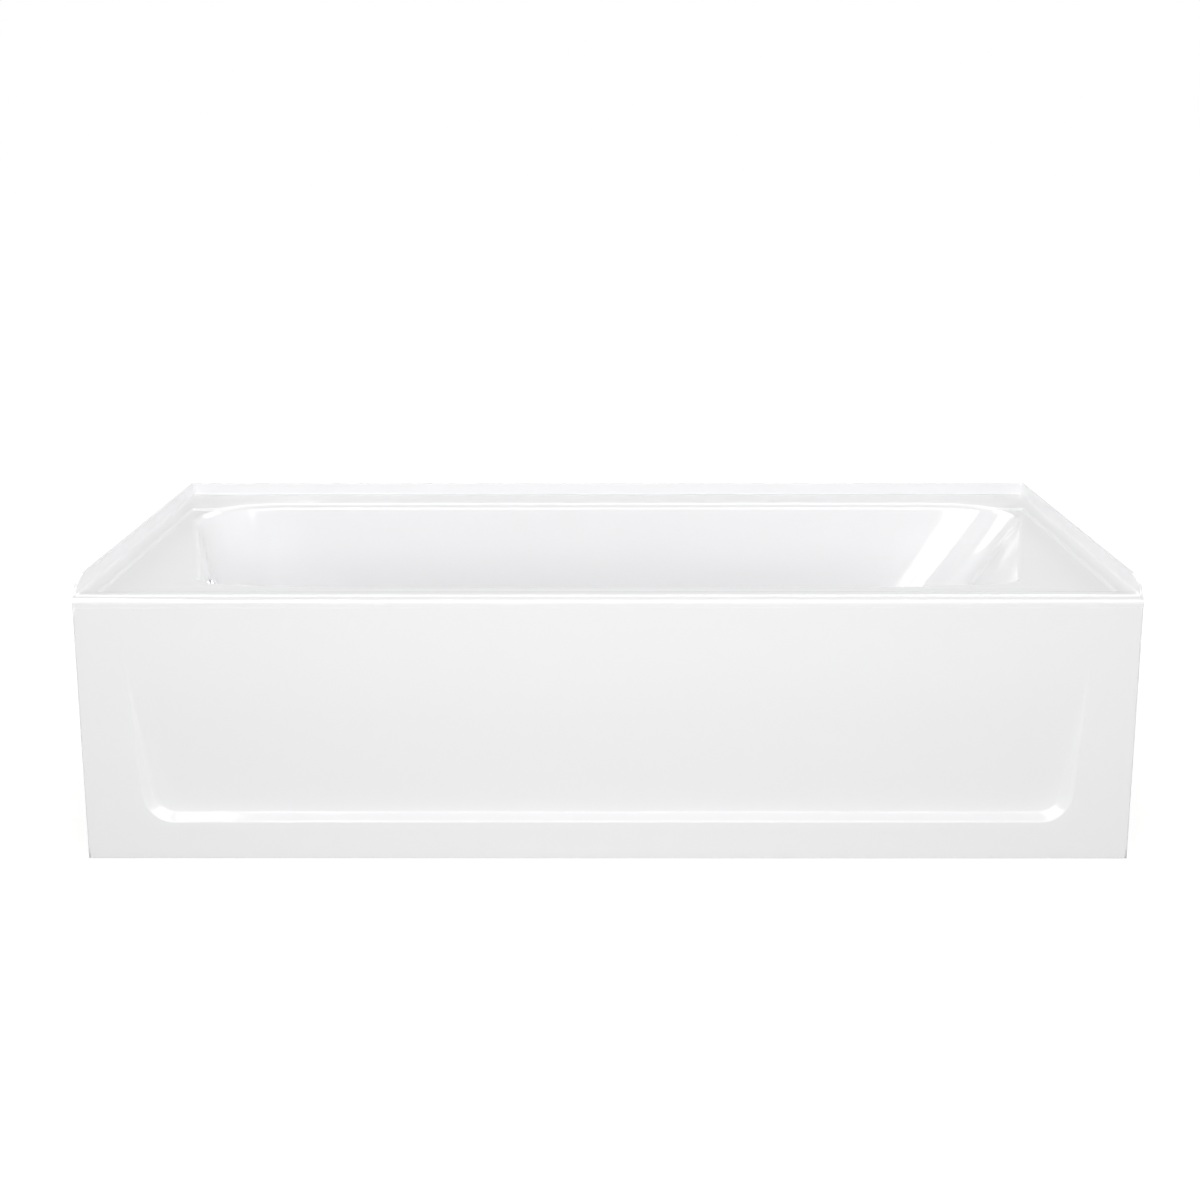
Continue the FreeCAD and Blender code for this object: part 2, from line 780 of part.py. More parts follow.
def overflow_tube():
    """Riser, elbow and flange in one piece."""
    turn = math.pi / 2 - lean
    setback = elbow_bend * math.tan(turn / 2)
    flange_face = -wall - overflow_gasket_thickness
    foot = V(0, 0, pipe_height + tee_top - socket_depth - elbow_height())
    parts = []
    for radius in (pipe_radius, pipe_radius - pipe_wall):
        circle = Part.Face(Part.Wire(Part.makeCircle(radius, V(0, 0, -setback), Z_AXIS)))
        bend = circle.revolve(V(elbow_bend, 0, -setback), Y_AXIS, math.degrees(turn))
        upright = rod(radius, foot, V(0, 0, -setback))
        neck = rod(radius, head_axis * setback, along_head(flange_face))
        parts.append(joined([upright, bend, neck]))
    flange = rod(head_flange_radius, along_head(flange_face - head_flange), along_head(flange_face))
    tube = parts[0].fuse(flange).cut(parts[1])
    return at_head(tube.cut(plate_screw_holes()).removeSplitter())


def overflow_gasket():
    return at_head(ring(head_flange_radius, overflow_hole,
                        along_head(-wall - overflow_gasket_thickness), along_head(-wall)))


def screw_line(side, distance):
    return along_head(distance) + V(0, side * plate_screw_offset, 0)


def plate_screw_holes():
    return group([rod(screw_radius, screw_line(side, -3 * wall), screw_line(side, plate_height + clear))
                  for side in (-1, 1)])


def lever_slot():
    """The slot that the lever passes through, in the plate and in the bracket."""
    corner = V(-plate_slot_width / 2, -plate_slot_length / 2, 0)
    slot = Part.makeBox(plate_slot_width, plate_slot_length, 3 * plate_height, corner)
    slot = slot.makeFillet(plate_slot_corner, [e for e in slot.Edges if e.BoundBox.ZLength > plate_height])
    # local x, y, z go to the head's sideways, upward and outward directions
    slot.Placement = FreeCAD.Placement(along_head(-plate_height), head_rotation())
    return slot


def head_rotation():
    return FreeCAD.Rotation(Y_AXIS * -1, head_up, head_axis, "ZXY")


def outer_rim(disc):
    """The circle of a disc on the head's axis that lies furthest into the basin."""
    circles = [edge for edge in disc.Edges if edge.Curve.TypeId == "Part::GeomCircle"]
    return max(circles, key=lambda edge: edge.CenterOfMass.dot(head_axis))


def plate_hollow_radius():
    return plate_radius - plate_edge_wall


def overflow_plate():
    dish = rod(plate_radius, along_head(rest_gap), along_head(plate_height))
    dish = dish.makeFillet(plate_height / 2, [outer_rim(dish)])
    hollow = rod(plate_hollow_radius(), along_head(0), along_head(plate_height - plate_thickness))
    return at_head(dish.cut(hollow).cut(lever_slot()).cut(plate_screw_holes()))


def plate_screws():
    screws = []
    behind = wall + overflow_gasket_thickness + head_flange
    for side in (-1, 1):
        under_head = screw_line(side, plate_height)
        shank = rod(screw_radius, screw_line(side, -behind), under_head)
        head = rod(screw_head_radius, under_head, screw_line(side, plate_height + screw_head_height))
        head = head.makeFillet(screw_head_crown, [outer_rim(head)])
        screws.append(at_head(shank.fuse(head).removeSplitter()))
    return group(screws)


# ---- lever and linkage ----
def fulcrum_x():
    return drain_x - fulcrum_to_drain


def fulcrum_to_riser():
    return fulcrum_x() - riser_x()


def rocker_travel():
    return stopper_lift / fulcrum_to_drain


def linkage_travel():
    return rocker_travel() * fulcrum_to_riser()


def lever_travel():
    """The lever turns this far in all, half of it to each side of level."""
    return 2 * math.asin(linkage_travel() / 2 / lever_arm)


pivot = V(lever_arm, 0, -lever_drop)


def lever_direction():
    """From the pivot to the middle of the slot in the plate."""
    toward = along_head(plate_height) - pivot
    return V(toward.x, 0, toward.z).normalize()


def sideways(half):
    return V(0, half, 0)


def flat_bar(start, end, depth, thickness):
    """A bar with round ends in the XZ plane, and its thickness along Y."""
    along = (end - start).normalize()
    across = along.cross(Y_AXIS) * (depth / 2)
    half = sideways(thickness / 2)
    corners = [start + across, end + across, end - across, start - across, start + across]
    plate = Part.Face(Part.makePolygon([c - half for c in corners])).extrude(half * 2)
    ends = [rod(depth / 2, p - half, p + half) for p in (start, end)]
    return joined([plate] + ends)


def trip_lever():
    """Closed, its handle is down and its inner arm is up."""
    tip = pivot + lever_direction() * lever_reach
    grip = pivot + lever_direction() * (lever_reach - paddle_length)
    inner = flat_bar(V(0, 0, -lever_drop), pivot, lever_depth, lever_thickness)
    outer = flat_bar(pivot, grip + lever_direction() * paddle_lap, lever_depth, lever_thickness)
    paddle = flat_bar(grip, tip, paddle_depth, paddle_width)
    paddle = paddle.makeFillet(paddle_edge, paddle.Edges)
    half = lever_thickness / 2 + fork_gap + fork_sheet
    fork_pin = rod(pin_radius, V(0, -half, -lever_drop), V(0, half, -lever_drop))
    lever = joined([inner, outer, paddle, fork_pin])
    bore = rod(pin_radius + running_gap, pivot - sideways(lever_depth), pivot + sideways(lever_depth))
    lever = lever.cut(bore)
    lever.rotate(pivot, Y_AXIS, math.degrees(lever_travel() / 2))
    return at_head(lever)


def ear_inside():
    return lever_thickness / 2 + bracket_clearance


def lever_bracket():
    """A strip behind the plate with two ears that carry the pin."""
    seat = plate_height - plate_thickness
    half_width = plate_screw_offset + bracket_end
    half_height = plate_slot_length / 2 + bracket_rim
    corner = V(-half_width, -half_height, -bracket_sheet)
    strip = Part.makeBox(2 * half_width, 2 * half_height, bracket_sheet, corner)
    strip.Placement = FreeCAD.Placement(along_head(seat), head_rotation())
    reach = rod(plate_hollow_radius() - bracket_clearance, along_head(-wall), along_head(plate_height))
    strip = strip.common(reach)
    parts = [strip.cut(lever_slot()).cut(plate_screw_holes())]
    root = along_head(seat - bracket_sheet / 2)
    low = root - head_up * (plate_slot_length / 2)
    high = root - head_up * (plate_slot_length / 4)
    outline = (low, high, pivot + head_up * ear_radius, pivot - head_axis * ear_radius,
               pivot - head_up * ear_radius, low)
    for start in (-ear_inside() - bracket_sheet, ear_inside()):
        web = Part.Face(Part.makePolygon([point + sideways(start) for point in outline]))
        parts.append(web.extrude(sideways(bracket_sheet)))
    bracket = joined(parts)
    bore = rod(pin_radius, pivot - sideways(plate_slot_length), pivot + sideways(plate_slot_length))
    return at_head(bracket.cut(bore))


def lever_pin():
    half = ear_inside() + bracket_sheet
    head = rod(pin_head_radius, pivot + sideways(half), pivot + sideways(half + pin_head))
    return at_head(joined([rod(pin_radius, pivot - sideways(half), pivot + sideways(half)), head]))


def fork_height():
    """Height of the fork's pin over the elbow's corner, with the stopper closed."""
    return -lever_drop + linkage_travel() / 2


def striker_bottom():
    return above_rocker(-fulcrum_to_riser(), striker_radius) + lift_gap


def fork():
    """The top of the linkage: two cheeks with slots, on a block."""
    z = fork_height()
    low = z - fork_base - fork_block
    inner = lever_thickness / 2 + fork_gap
    slot_radius = pin_radius + rest_gap
    cheeks = []
    for start in (-inner - fork_sheet, inner):
        y0 = start - clear
        y1 = start + fork_sheet + clear
        cheek = box(-fork_half_width, fork_half_width, start, start + fork_sheet, low, z + fork_head)
        slot = box(-slot_play, slot_play, y0, y1, z - slot_radius, z + slot_radius)
        ends = [rod(slot_radius, V(x, y0, z), V(x, y1, z)) for x in (-slot_play, slot_play)]
        cheeks.append(cheek.cut(slot).cut(group(ends)))
    outer = inner + fork_sheet
    block = box(-fork_half_width, fork_half_width, -outer, outer, low, z - fork_base)
    return joined(cheeks + [block])


def linkage_rod():
    top = fork_height() - fork_base - fork_block / 2
    bottom = striker_bottom() + striker_length - rod_bite() - elbow_height()
    return at_head(joined([fork(), rod(rod_radius, V(0, 0, bottom), V(0, 0, top))]))


def rod_bite():
    return striker_length / 2


def linkage_striker():
    low = striker_bottom()
    high = low + striker_length
    body = rod(striker_radius, at_riser(low), at_riser(high))
    body = body.makeFillet(striker_edge, flat_edges(body, low) + flat_edges(body, high))
    return body.cut(rod(rod_radius, at_riser(high - rod_bite()), at_riser(high + clear)))


def linkage_nut():
    seat = striker_bottom() + striker_length
    nut = hexagon(rod_nut_flats, at_riser(seat), at_riser(seat + rod_nut_height))
    return nut.cut(rod(rod_radius, at_riser(seat), at_riser(seat + rod_nut_height)))


def fulcrum():
    """The bend of the rocker arm, just above the bottom of the shoe tube."""
    return V(fulcrum_x(), 0, pipe_height - pipe_radius + pipe_wall + rocker_wire + rest_gap)


def rocker_end(side_run):
    """An end of the rocker arm, with the stopper closed: the arm is tilted towards the drain."""
    point = V(side_run, 0, rocker_rise)
    tilt = FreeCAD.Rotation(Y_AXIS, math.degrees(rocker_travel() / 2))
    return fulcrum() + tilt.multVec(point)


def above_rocker(side_run, radius):
    """Highest point of the tilted rocker arm, within a radius of one of its ends."""
    return rocker_end(side_run).z + rocker_wire + radius * math.sin(rocker_travel() / 2)


def rocker_arm():
    base = fulcrum()
    points = [V(-fulcrum_to_riser(), 0, rocker_rise), V(-rocker_knee, 0, rocker_rise), V(0, 0, 0),
              V(rocker_knee, 0, rocker_rise), V(fulcrum_to_drain + hub_radius, 0, rocker_rise)]
    parts = [rod(rocker_wire, a, b) for a, b in zip(points, points[1:])]
    parts += [Part.makeSphere(rocker_wire, p) for p in points[1:]]
    pad_low = points[0] - V(0, 0, rocker_pad_thickness / 2)
    parts.append(rod(rocker_pad_radius, pad_low, pad_low + V(0, 0, rocker_pad_thickness)))
    arm = joined(parts)
    arm.rotate(V(0, 0, 0), Y_AXIS, math.degrees(rocker_travel() / 2))
    arm.translate(base)
    return arm


# ---- stopper ----
def stopper_seat():
    _, top, _ = drain_levels()
    return top + rest_gap


def stopper_cap():
    seat = stopper_seat()
    rim = rod(stopper_radius, at_drain(seat), at_drain(seat + stopper_rim))
    cap_radius = (stopper_radius ** 2 + stopper_crown ** 2) / (2 * stopper_crown)
    ball = Part.makeSphere(cap_radius, at_drain(seat + stopper_rim + stopper_crown - cap_radius))
    above_rim = rod(stopper_radius, at_drain(seat + stopper_rim), at_drain(seat + cap_radius))
    return rim.fuse(ball.common(above_rim)).removeSplitter()


def stopper_seal():
    seat = at_drain(stopper_seat())
    low = at_drain(stopper_seat() - seal_thickness)
    return ring(throat_radius - seal_clearance, stem_radius, low, seat)


def stopper_stem():
    foot = above_rocker(fulcrum_to_drain, stem_radius) + lift_gap
    return rod(stem_radius, at_drain(foot), at_drain(stopper_seat()))


# ---- the whole bath ----
def build():
    nodes = {}
    surface = surface_block(0)
    middle = surface_block(skin)
    inside = surface_block(wall)
    nodes["bath_shell"] = layer(surface, middle).fuse(tile_flange()).removeSplitter()
    nodes["shell_backing"] = layer(middle, inside)
    nodes["apron_panel"] = apron_block(0).cut(apron_block(skin))
    nodes["apron_backing"] = apron_block(skin).cut([apron_block(wall), below_apron_backing()])
    nodes["apron_top_rail"], nodes["apron_foot_rail"] = apron_rails()
    for number, x in enumerate(upright_positions(), 1):
        nodes[f"apron_upright_{number}"] = apron_upright(x)
    nodes["end_rail_left"], nodes["end_rail_right"], nodes["back_rail"] = ledge_rails()
    screws = group([bearer_screw(x, y) for x, y in screw_places()])
    nodes["bearer_screws"] = screws
    nodes["base_board"] = base_board(screws)
    for number, x in enumerate(bearer_positions(), 1):
        nodes[f"cross_bearer_{number}"] = cross_bearer(x, screws)
    nodes["foot_inserts"] = group([foot_insert(x, y) for x, y in foot_places()])
    nodes["foot_lock_nuts"] = group([foot_lock_nut(x, y) for x, y in foot_places()])
    for number, (x, y) in enumerate(foot_places(), 1):
        nodes[f"foot_stem_{number}"] = foot_stem(x, y)
        nodes[f"foot_pad_{number}"] = foot_pad(x, y)
    nodes["drain_body"] = drain_body()
    nodes["drain_putty_ring"], nodes["drain_gasket"] = drain_seals()
    nodes["drain_shoe"] = drain_shoe()
    nodes["waste_tee"] = waste_tee()
    nodes["slip_nuts"], nodes["slip_washers"] = slip_joints()
    nodes["overflow_tube"] = overflow_tube()
    nodes["overflow_gasket"] = overflow_gasket()
    nodes["overflow_plate"] = overflow_plate()
    nodes["plate_screws"] = plate_screws()
    nodes["lever_bracket"] = lever_bracket()
    nodes["lever_pin"] = lever_pin()
    nodes["trip_lever"] = trip_lever()
    nodes["linkage_rod"] = linkage_rod()
    nodes["linkage_nut"] = linkage_nut()
    nodes["linkage_striker"] = linkage_striker()
    nodes["rocker_arm"] = rocker_arm()
    nodes["stopper_cap"] = stopper_cap()
    nodes["stopper_seal"] = stopper_seal()
    nodes["stopper_stem"] = stopper_stem()
    return nodes


os.makedirs("parts", exist_ok=True)
for name, shape in build().items():
    shape.exportStep(f"parts/{name}.step")
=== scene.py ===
"""How the alcove bathtub looks: one gloss white moulding with its apron, the glass fibre, timber and
feet below it, and the chromed waste. Metres, in the frame of the construction."""
import bmesh
import bpy
import json
import math
from mathutils import Matrix, Vector, noise


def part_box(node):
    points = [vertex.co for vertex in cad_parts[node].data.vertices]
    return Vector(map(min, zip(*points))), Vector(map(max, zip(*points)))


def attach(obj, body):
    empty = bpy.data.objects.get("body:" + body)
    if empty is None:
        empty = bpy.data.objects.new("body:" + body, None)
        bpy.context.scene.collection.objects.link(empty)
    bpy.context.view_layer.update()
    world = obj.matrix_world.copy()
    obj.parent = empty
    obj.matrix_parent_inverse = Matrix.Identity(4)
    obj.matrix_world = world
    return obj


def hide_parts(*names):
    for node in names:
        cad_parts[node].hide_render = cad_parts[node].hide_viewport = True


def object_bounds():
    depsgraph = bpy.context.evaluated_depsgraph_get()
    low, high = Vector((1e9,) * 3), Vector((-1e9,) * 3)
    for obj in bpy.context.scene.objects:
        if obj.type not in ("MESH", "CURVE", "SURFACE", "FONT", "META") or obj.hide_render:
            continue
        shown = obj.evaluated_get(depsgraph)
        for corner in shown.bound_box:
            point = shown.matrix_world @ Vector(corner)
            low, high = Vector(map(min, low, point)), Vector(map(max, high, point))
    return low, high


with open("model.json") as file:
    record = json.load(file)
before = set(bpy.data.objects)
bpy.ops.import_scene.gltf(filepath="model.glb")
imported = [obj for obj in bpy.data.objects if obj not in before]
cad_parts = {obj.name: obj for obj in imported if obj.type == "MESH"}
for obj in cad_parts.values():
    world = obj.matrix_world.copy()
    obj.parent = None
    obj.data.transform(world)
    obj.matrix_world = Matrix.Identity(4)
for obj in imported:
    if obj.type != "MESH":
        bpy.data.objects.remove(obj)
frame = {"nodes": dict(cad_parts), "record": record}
cad_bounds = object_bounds()
scene = bpy.context.scene
MM = 0.001

# ---- the bath's sizes, as in the construction ----
HALF = cad_bounds[1].x
FRONT = cad_bounds[0].y
BACK = cad_bounds[1].y
FLANGE_TOP = cad_bounds[1].z
LEDGE_HEIGHT = 394.5 * MM
DECK_STEP = 3.0 * MM
SKIN = 4.0 * MM
WALL = 8.0 * MM
SIDE_LEDGE = 31.0 * MM
FRONT_LEDGE = 33.0 * MM
BACK_LEDGE = 138.0 * MM
FRONT_ROLL = 13.5 * MM
RIM_ROLL = 14.0 * MM
LIP_BOTTOM = 378.3 * MM
FLANGE_THICKNESS = 4.0 * MM
FLANGE_FILLET = 4.0 * MM
FLANGE_CORNER = 6.0 * MM
FLANGE_EDGE = 0.8 * MM
FLANGE_ROOT = 9.5 * MM
FLANGE_KNEE = 20.0 * MM
FLANGE_KNEE_DROP = 8.7 * MM
FLANGE_FULL = 58.0 * MM
FLANGE_END_BULGE = 1.2 * MM
FRONT_MARGIN = 81.4 * MM
BACK_MARGIN = 94.2 * MM
LEFT_MARGIN = 97.0 * MM
RIGHT_MARGIN = 91.5 * MM
MIDDLE_LINE = -6.4 * MM
SPLAY = math.radians(12.3)
DRAIN_END_SLOPE = 0.24
BACKREST_SLOPE = 0.74
SIDE_SLOPE = 0.14
NEAR_LEAD = 988.0 * MM
NEAR_LEAD_TURN = math.radians(13.0)
NEAR_TOP = 38.0 * MM
NEAR_LOW = 100.0 * MM
FAR_LEAD = 488.0 * MM
FAR_LEAD_TURN = math.radians(8.0)
FAR_TOP = 116.0 * MM
FAR_LOW = 110.0 * MM
FLOOR_HEIGHT = 84.0 * MM
FLOOR_FALL = 0.0105
FLOOR_COVE = 60.0 * MM
DRAIN_X = -480.0 * MM
DRAIN_HOLE = 22.05 * MM
DISH_RADIUS = 42.0 * MM
DISH_DEPTH = 3.0 * MM
DECK_HEIGHT = LEDGE_HEIGHT - DECK_STEP
APRON_TOP = 378.28 * MM
APRON_RETURN = 30.0 * MM
APRON_EDGE = 3.0 * MM
RECESS_BOTTOM = 56.0 * MM
RECESS_END_MARGIN = 87.0 * MM
RECESS_LEAN = 0.0624
RECESS_CORNER = 45.0 * MM
RECESS_LOW_BEVEL = 0.97
RECESS_SIDE_BEVEL = 1.5
PANEL_TOP = 310.0 * MM
PANEL_BEND = 1500.0 * MM
PANEL_TILT = math.radians(3.5)
OVERFLOW_HEIGHT = 285.0 * MM
OVERFLOW_HOLE = 27.0 * MM
OVERFLOW_REACH = 50.0 * MM    # from the wall to the riser's axis, which lies on the bath's middle line

# ---- how finely the moulding is drawn ----
STEP_SOFTNESS = 2.2 * MM      # half width of the moulded step between deck and ledge
LEDGE_CROWN = 0.3 * MM        # the front ledge is not quite flat
SAME_PLACE = 0.01 * MM        # points closer than this are one
SHARP_EDGE = math.radians(35)    # faces that meet at more than this keep a crisp edge
FRONT_COLUMNS = 24
END_COLUMNS = 12
BEND_COLUMNS = 4              # between an end wall and the step in the deck
BACK_COLUMNS = 16
COVE_ROWS = 10
DISH_TURN = 0.6               # how far the dish's points turn from even steps towards the coves
DISH_MIDDLE = 30.0 * MM
# Millimetres outwards across the dish's edge, and the share of its depth that has risen there.
DISH_EDGE = ((-4, 0), (-2, 0.12), (-0.8, 0.4), (0.8, 0.8), (2.5, 0.97), (5, 1))
FLOOR_SHARES = (0.2, 0.5, 0.8, 0.93)
FLOOR_BEND = 1.5              # the floor's lines leave the coves more steeply than they reach the dish
WALL_ROWS = 6
ROLL_ROWS = 9
ROLL_REACH = RIM_ROLL * 0.7   # from the basin's outline to the middle of its rolled rim
DECK_SHARES = (0.3, 0.7)
STEP_REACH = 5.0 * MM         # rows this far to each side of the moulded step
STEP_ROWS = (2.2, 1.1, 0, -1.1, -2.2)    # mm inwards from the step
LEDGE_SHARES = (0.35, 0.7)
FILLET_STEPS = 5
TOP_EDGE_STEPS = 3
UNDER_STEPS = 4
UNDER_INSET = 2.4 * MM        # from the bath's edge to the last row of the underside
LIP_INSET = 1.2 * MM          # and to the inner row of the lip
LIP_MARGIN = 0.1 * MM         # points up to this far behind the front roll go down to its lip
RECESS_ROUNDING = 1.3 * MM    # half width of the soft edges of the recess
LEAST_BEVEL = 4 * RECESS_ROUNDING    # keeps the soft edges of a bevel apart
RECESS_CLOSED = 335.0 * MM    # the U is closed here, above the place where its depth runs out
RECESS_RUN = 24
RECESS_TURN = 10
RECESS_SIDE = 18
RECESS_TRIES = 6              # a bevel's width depends on the depth at its foot, so it is found by trying
BEVEL_SHARES = (0.67, 0.33)
PANEL_ROWS = (20.0 * MM, 12.0 * MM, 5.0 * MM)    # inside the foot of the bevel
FACE_SHARES = (0.15, 0.5, 0.985, 1)    # the last but one keeps the shading of the edges off the face
APRON_EDGE_STEPS = 4
STRAND_LUMPS = 0.9 * MM       # how uneven the sprayed backing is
LUMP_SIZES = ((28.0 * MM, 1.0), (9.0 * MM, 0.5))    # size and share of the height


# ---- meshes ----
def lerp(a, b, share):
    """The value that lies this share of the way from a to b."""
    return a + (b - a) * share


def ease(share):
    """0 to 1 with level ends."""
    share = min(max(share, 0.0), 1.0)
    return share * share * (3 - 2 * share)


def ring_mesh(rows, closed=True):
    """Extrudes a ring of points from row to row. A closed mesh ends in its first row again."""
    bm = bmesh.new()
    column = bm.verts.layers.int.new("column")
    ring = [bm.verts.new(point) for point in rows[0]]
    for number, vert in enumerate(ring):
        vert[column] = number
    edges = [bm.edges.new(pair) for pair in zip(ring, ring[1:] + ring[:1])]
    for row in rows[1:] + (rows[:1] if closed else []):
        grown = bmesh.ops.extrude_edge_only(bm, edges=edges)["geom"]
        edges = [item for item in grown if isinstance(item, bmesh.types.BMEdge)]
        for vert in grown:
            if isinstance(vert, bmesh.types.BMVert):
                vert.co = row[vert[column]]
    bmesh.ops.remove_doubles(bm, verts=bm.verts, dist=SAME_PLACE)
    return bm


def piece(bm, name):
    """Turns a bmesh into an object, with smooth faces and crisp edges where they are sharp."""
    bmesh.ops.recalc_face_normals(bm, faces=bm.faces)
    for face in bm.faces:
        face.smooth = True
    for edge in bm.edges:
        edge.smooth = not edge.is_manifold or edge.calc_face_angle() < SHARP_EDGE
    mesh = bpy.data.meshes.new(name)
    bm.to_mesh(mesh)
    bm.free()
    made = bpy.data.objects.new(name, mesh)
    scene.collection.objects.link(made)
    return made


def cut(made, cutter):
    """Takes the cutter's shape out of a piece, and the cutter out of the scene."""
    boolean = made.modifiers.new("cut", "BOOLEAN")
    boolean.operation = "DIFFERENCE"
    boolean.solver = "EXACT"
    boolean.object = cutter
    graph = bpy.context.evaluated_depsgraph_get()
    mesh = bpy.data.meshes.new_from_object(made.evaluated_get(graph))
    mesh.name = made.name
    made.modifiers.clear()
    made.data = mesh
    bpy.data.objects.remove(cutter)


# ---- the basin's outline ----
def sloped(slope):
    """Length along a slope per length along its base."""
    return math.sqrt(1 + slope * slope)


def end_wall_x(sign, y, z, grow):
    """Distance of an end wall from the middle of the bath, with the wall moved out by grow."""
    margin, slope = (RIGHT_MARGIN, BACKREST_SLOPE) if sign > 0 else (LEFT_MARGIN, DRAIN_END_SLOPE)
    splay_run = (y - MIDDLE_LINE) * math.tan(SPLAY)
    move = grow * math.sqrt(1 + math.tan(SPLAY) ** 2 + slope ** 2)
    return HALF - margin + splay_run - slope * (DECK_HEIGHT - z) + move


def corner_run(lead, lead_turn, tight, angle):
    """Run along the long side and rise across it, after a wide arc and then a tight one up to an angle."""
    first = min(angle, lead_turn)
    run = lead * math.sin(first) + tight * (math.sin(angle) - math.sin(first))
    rise = lead * (1 - math.cos(first)) + tight * (math.cos(first) - math.cos(angle))
    return run, rise


def corner_sizes(near, z, grow):
    """Lead radius, lead turn, tight radius and whole turn of a corner at a height."""
    depth = (DECK_HEIGHT - z) / (DECK_HEIGHT - FLOOR_HEIGHT)
    if near:
        return NEAR_LEAD + grow, NEAR_LEAD_TURN, lerp(NEAR_TOP, NEAR_LOW, depth) + grow, math.pi / 2 - SPLAY
    return FAR_LEAD + grow, FAR_LEAD_TURN, lerp(FAR_TOP, FAR_LOW, depth) + grow, math.pi / 2 + SPLAY


def long_side_y(near, z, grow):
    """Where the front or back wall of the basin stands at a height."""
    move = grow * sloped(SIDE_SLOPE) - SIDE_SLOPE * (DECK_HEIGHT - z)
    return FRONT + FRONT_MARGIN - move if near else BACK - BACK_MARGIN + move


def corner_point(sign, near, angle, z, grow):
    """A point of one of the basin's four corners, at an angle from the long side."""
    lead, lead_turn, tight, turn = corner_sizes(near, z, grow)
    inward = 1 if near else -1
    line_y = long_side_y(near, z, grow)
    end_run, end_rise = corner_run(lead, lead_turn, tight, turn)
    wall_x = end_wall_x(sign, line_y + inward * end_rise, z, grow)
    run, rise = corner_run(lead, lead_turn, tight, angle)
    return Vector((sign * (wall_x - end_run + run), line_y + inward * rise, z))


def basin_point(column, z, grow=0.0):
    """Where a column of the mesh crosses the basin's wall at a height."""
    sign, (part, value), _ = column
    if part == "near" or part == "far":
        return corner_point(sign, part == "near", value, z, grow)
    if part == "end":
        near = corner_point(sign, True, math.pi / 2 - SPLAY, z, grow)
        far = corner_point(sign, False, math.pi / 2 + SPLAY, z, grow)
        return near.lerp(far, value)
    start = corner_point(sign, part == "front", 0.0, z, grow)
    return Vector((start.x * value, start.y, z))


def basin_normal(column):
    """Level direction out of the basin, square to its outline."""
    sign, (part, value), _ = column
    if part == "near":
        return Vector((sign * math.sin(value), -math.cos(value), 0))
    if part == "far":
        return Vector((sign * math.sin(value), math.cos(value), 0))
    if part == "end":
        return Vector((sign * math.cos(SPLAY), -math.sin(SPLAY), 0))
    return Vector((0, -1 if part == "front" else 1, 0))


def basin_slope(column):
    """How far the wall runs outwards per rise."""
    low = basin_point(column, FLOOR_HEIGHT)
    high = basin_point(column, DECK_HEIGHT)
    return (high - low).dot(basin_normal(column)) / (DECK_HEIGHT - FLOOR_HEIGHT)


def far_angle(y):
    """Turn of the far corner's tight arc at the place where its rolled rim reaches a depth."""
    lead, lead_turn, tight, _ = corner_sizes(False, DECK_HEIGHT, ROLL_REACH)
    rise = long_side_y(False, DECK_HEIGHT, ROLL_REACH) - y
    cosine = math.cos(lead_turn) - (rise - lead * (1 - math.cos(lead_turn))) / tight
    return math.acos(cosine)


# ---- columns: each has a place on the basin's outline and one on the bath's edge ----
# From the apron's face along the front end of the side flange.
FLANGE_STEPS = [step * MM for step in
                (0.35, 1.3, 2.8, 4.7, 6.6, 8.4, 9.6, 11, 13, 16, 20, 26, 34, 44, 54, 62)]
# Across the line where the side decks step up to the back ledge.
STEP_STEPS = [step * MM for step in (-16, -10, -6, -3.6, -2.2, -1.1, 0, 1.1, 2.2, 3.6, 6, 10, 16)]
STEP_LINE = BACK - BACK_LEDGE
# Behind that step, beside the back ledge, and then round the bath's back corner.
SIDE_STEPS = [lerp(STEP_LINE, BACK, share) for share in (0.2, 0.33, 0.44)]
BACK_CORNER_STEPS = 4


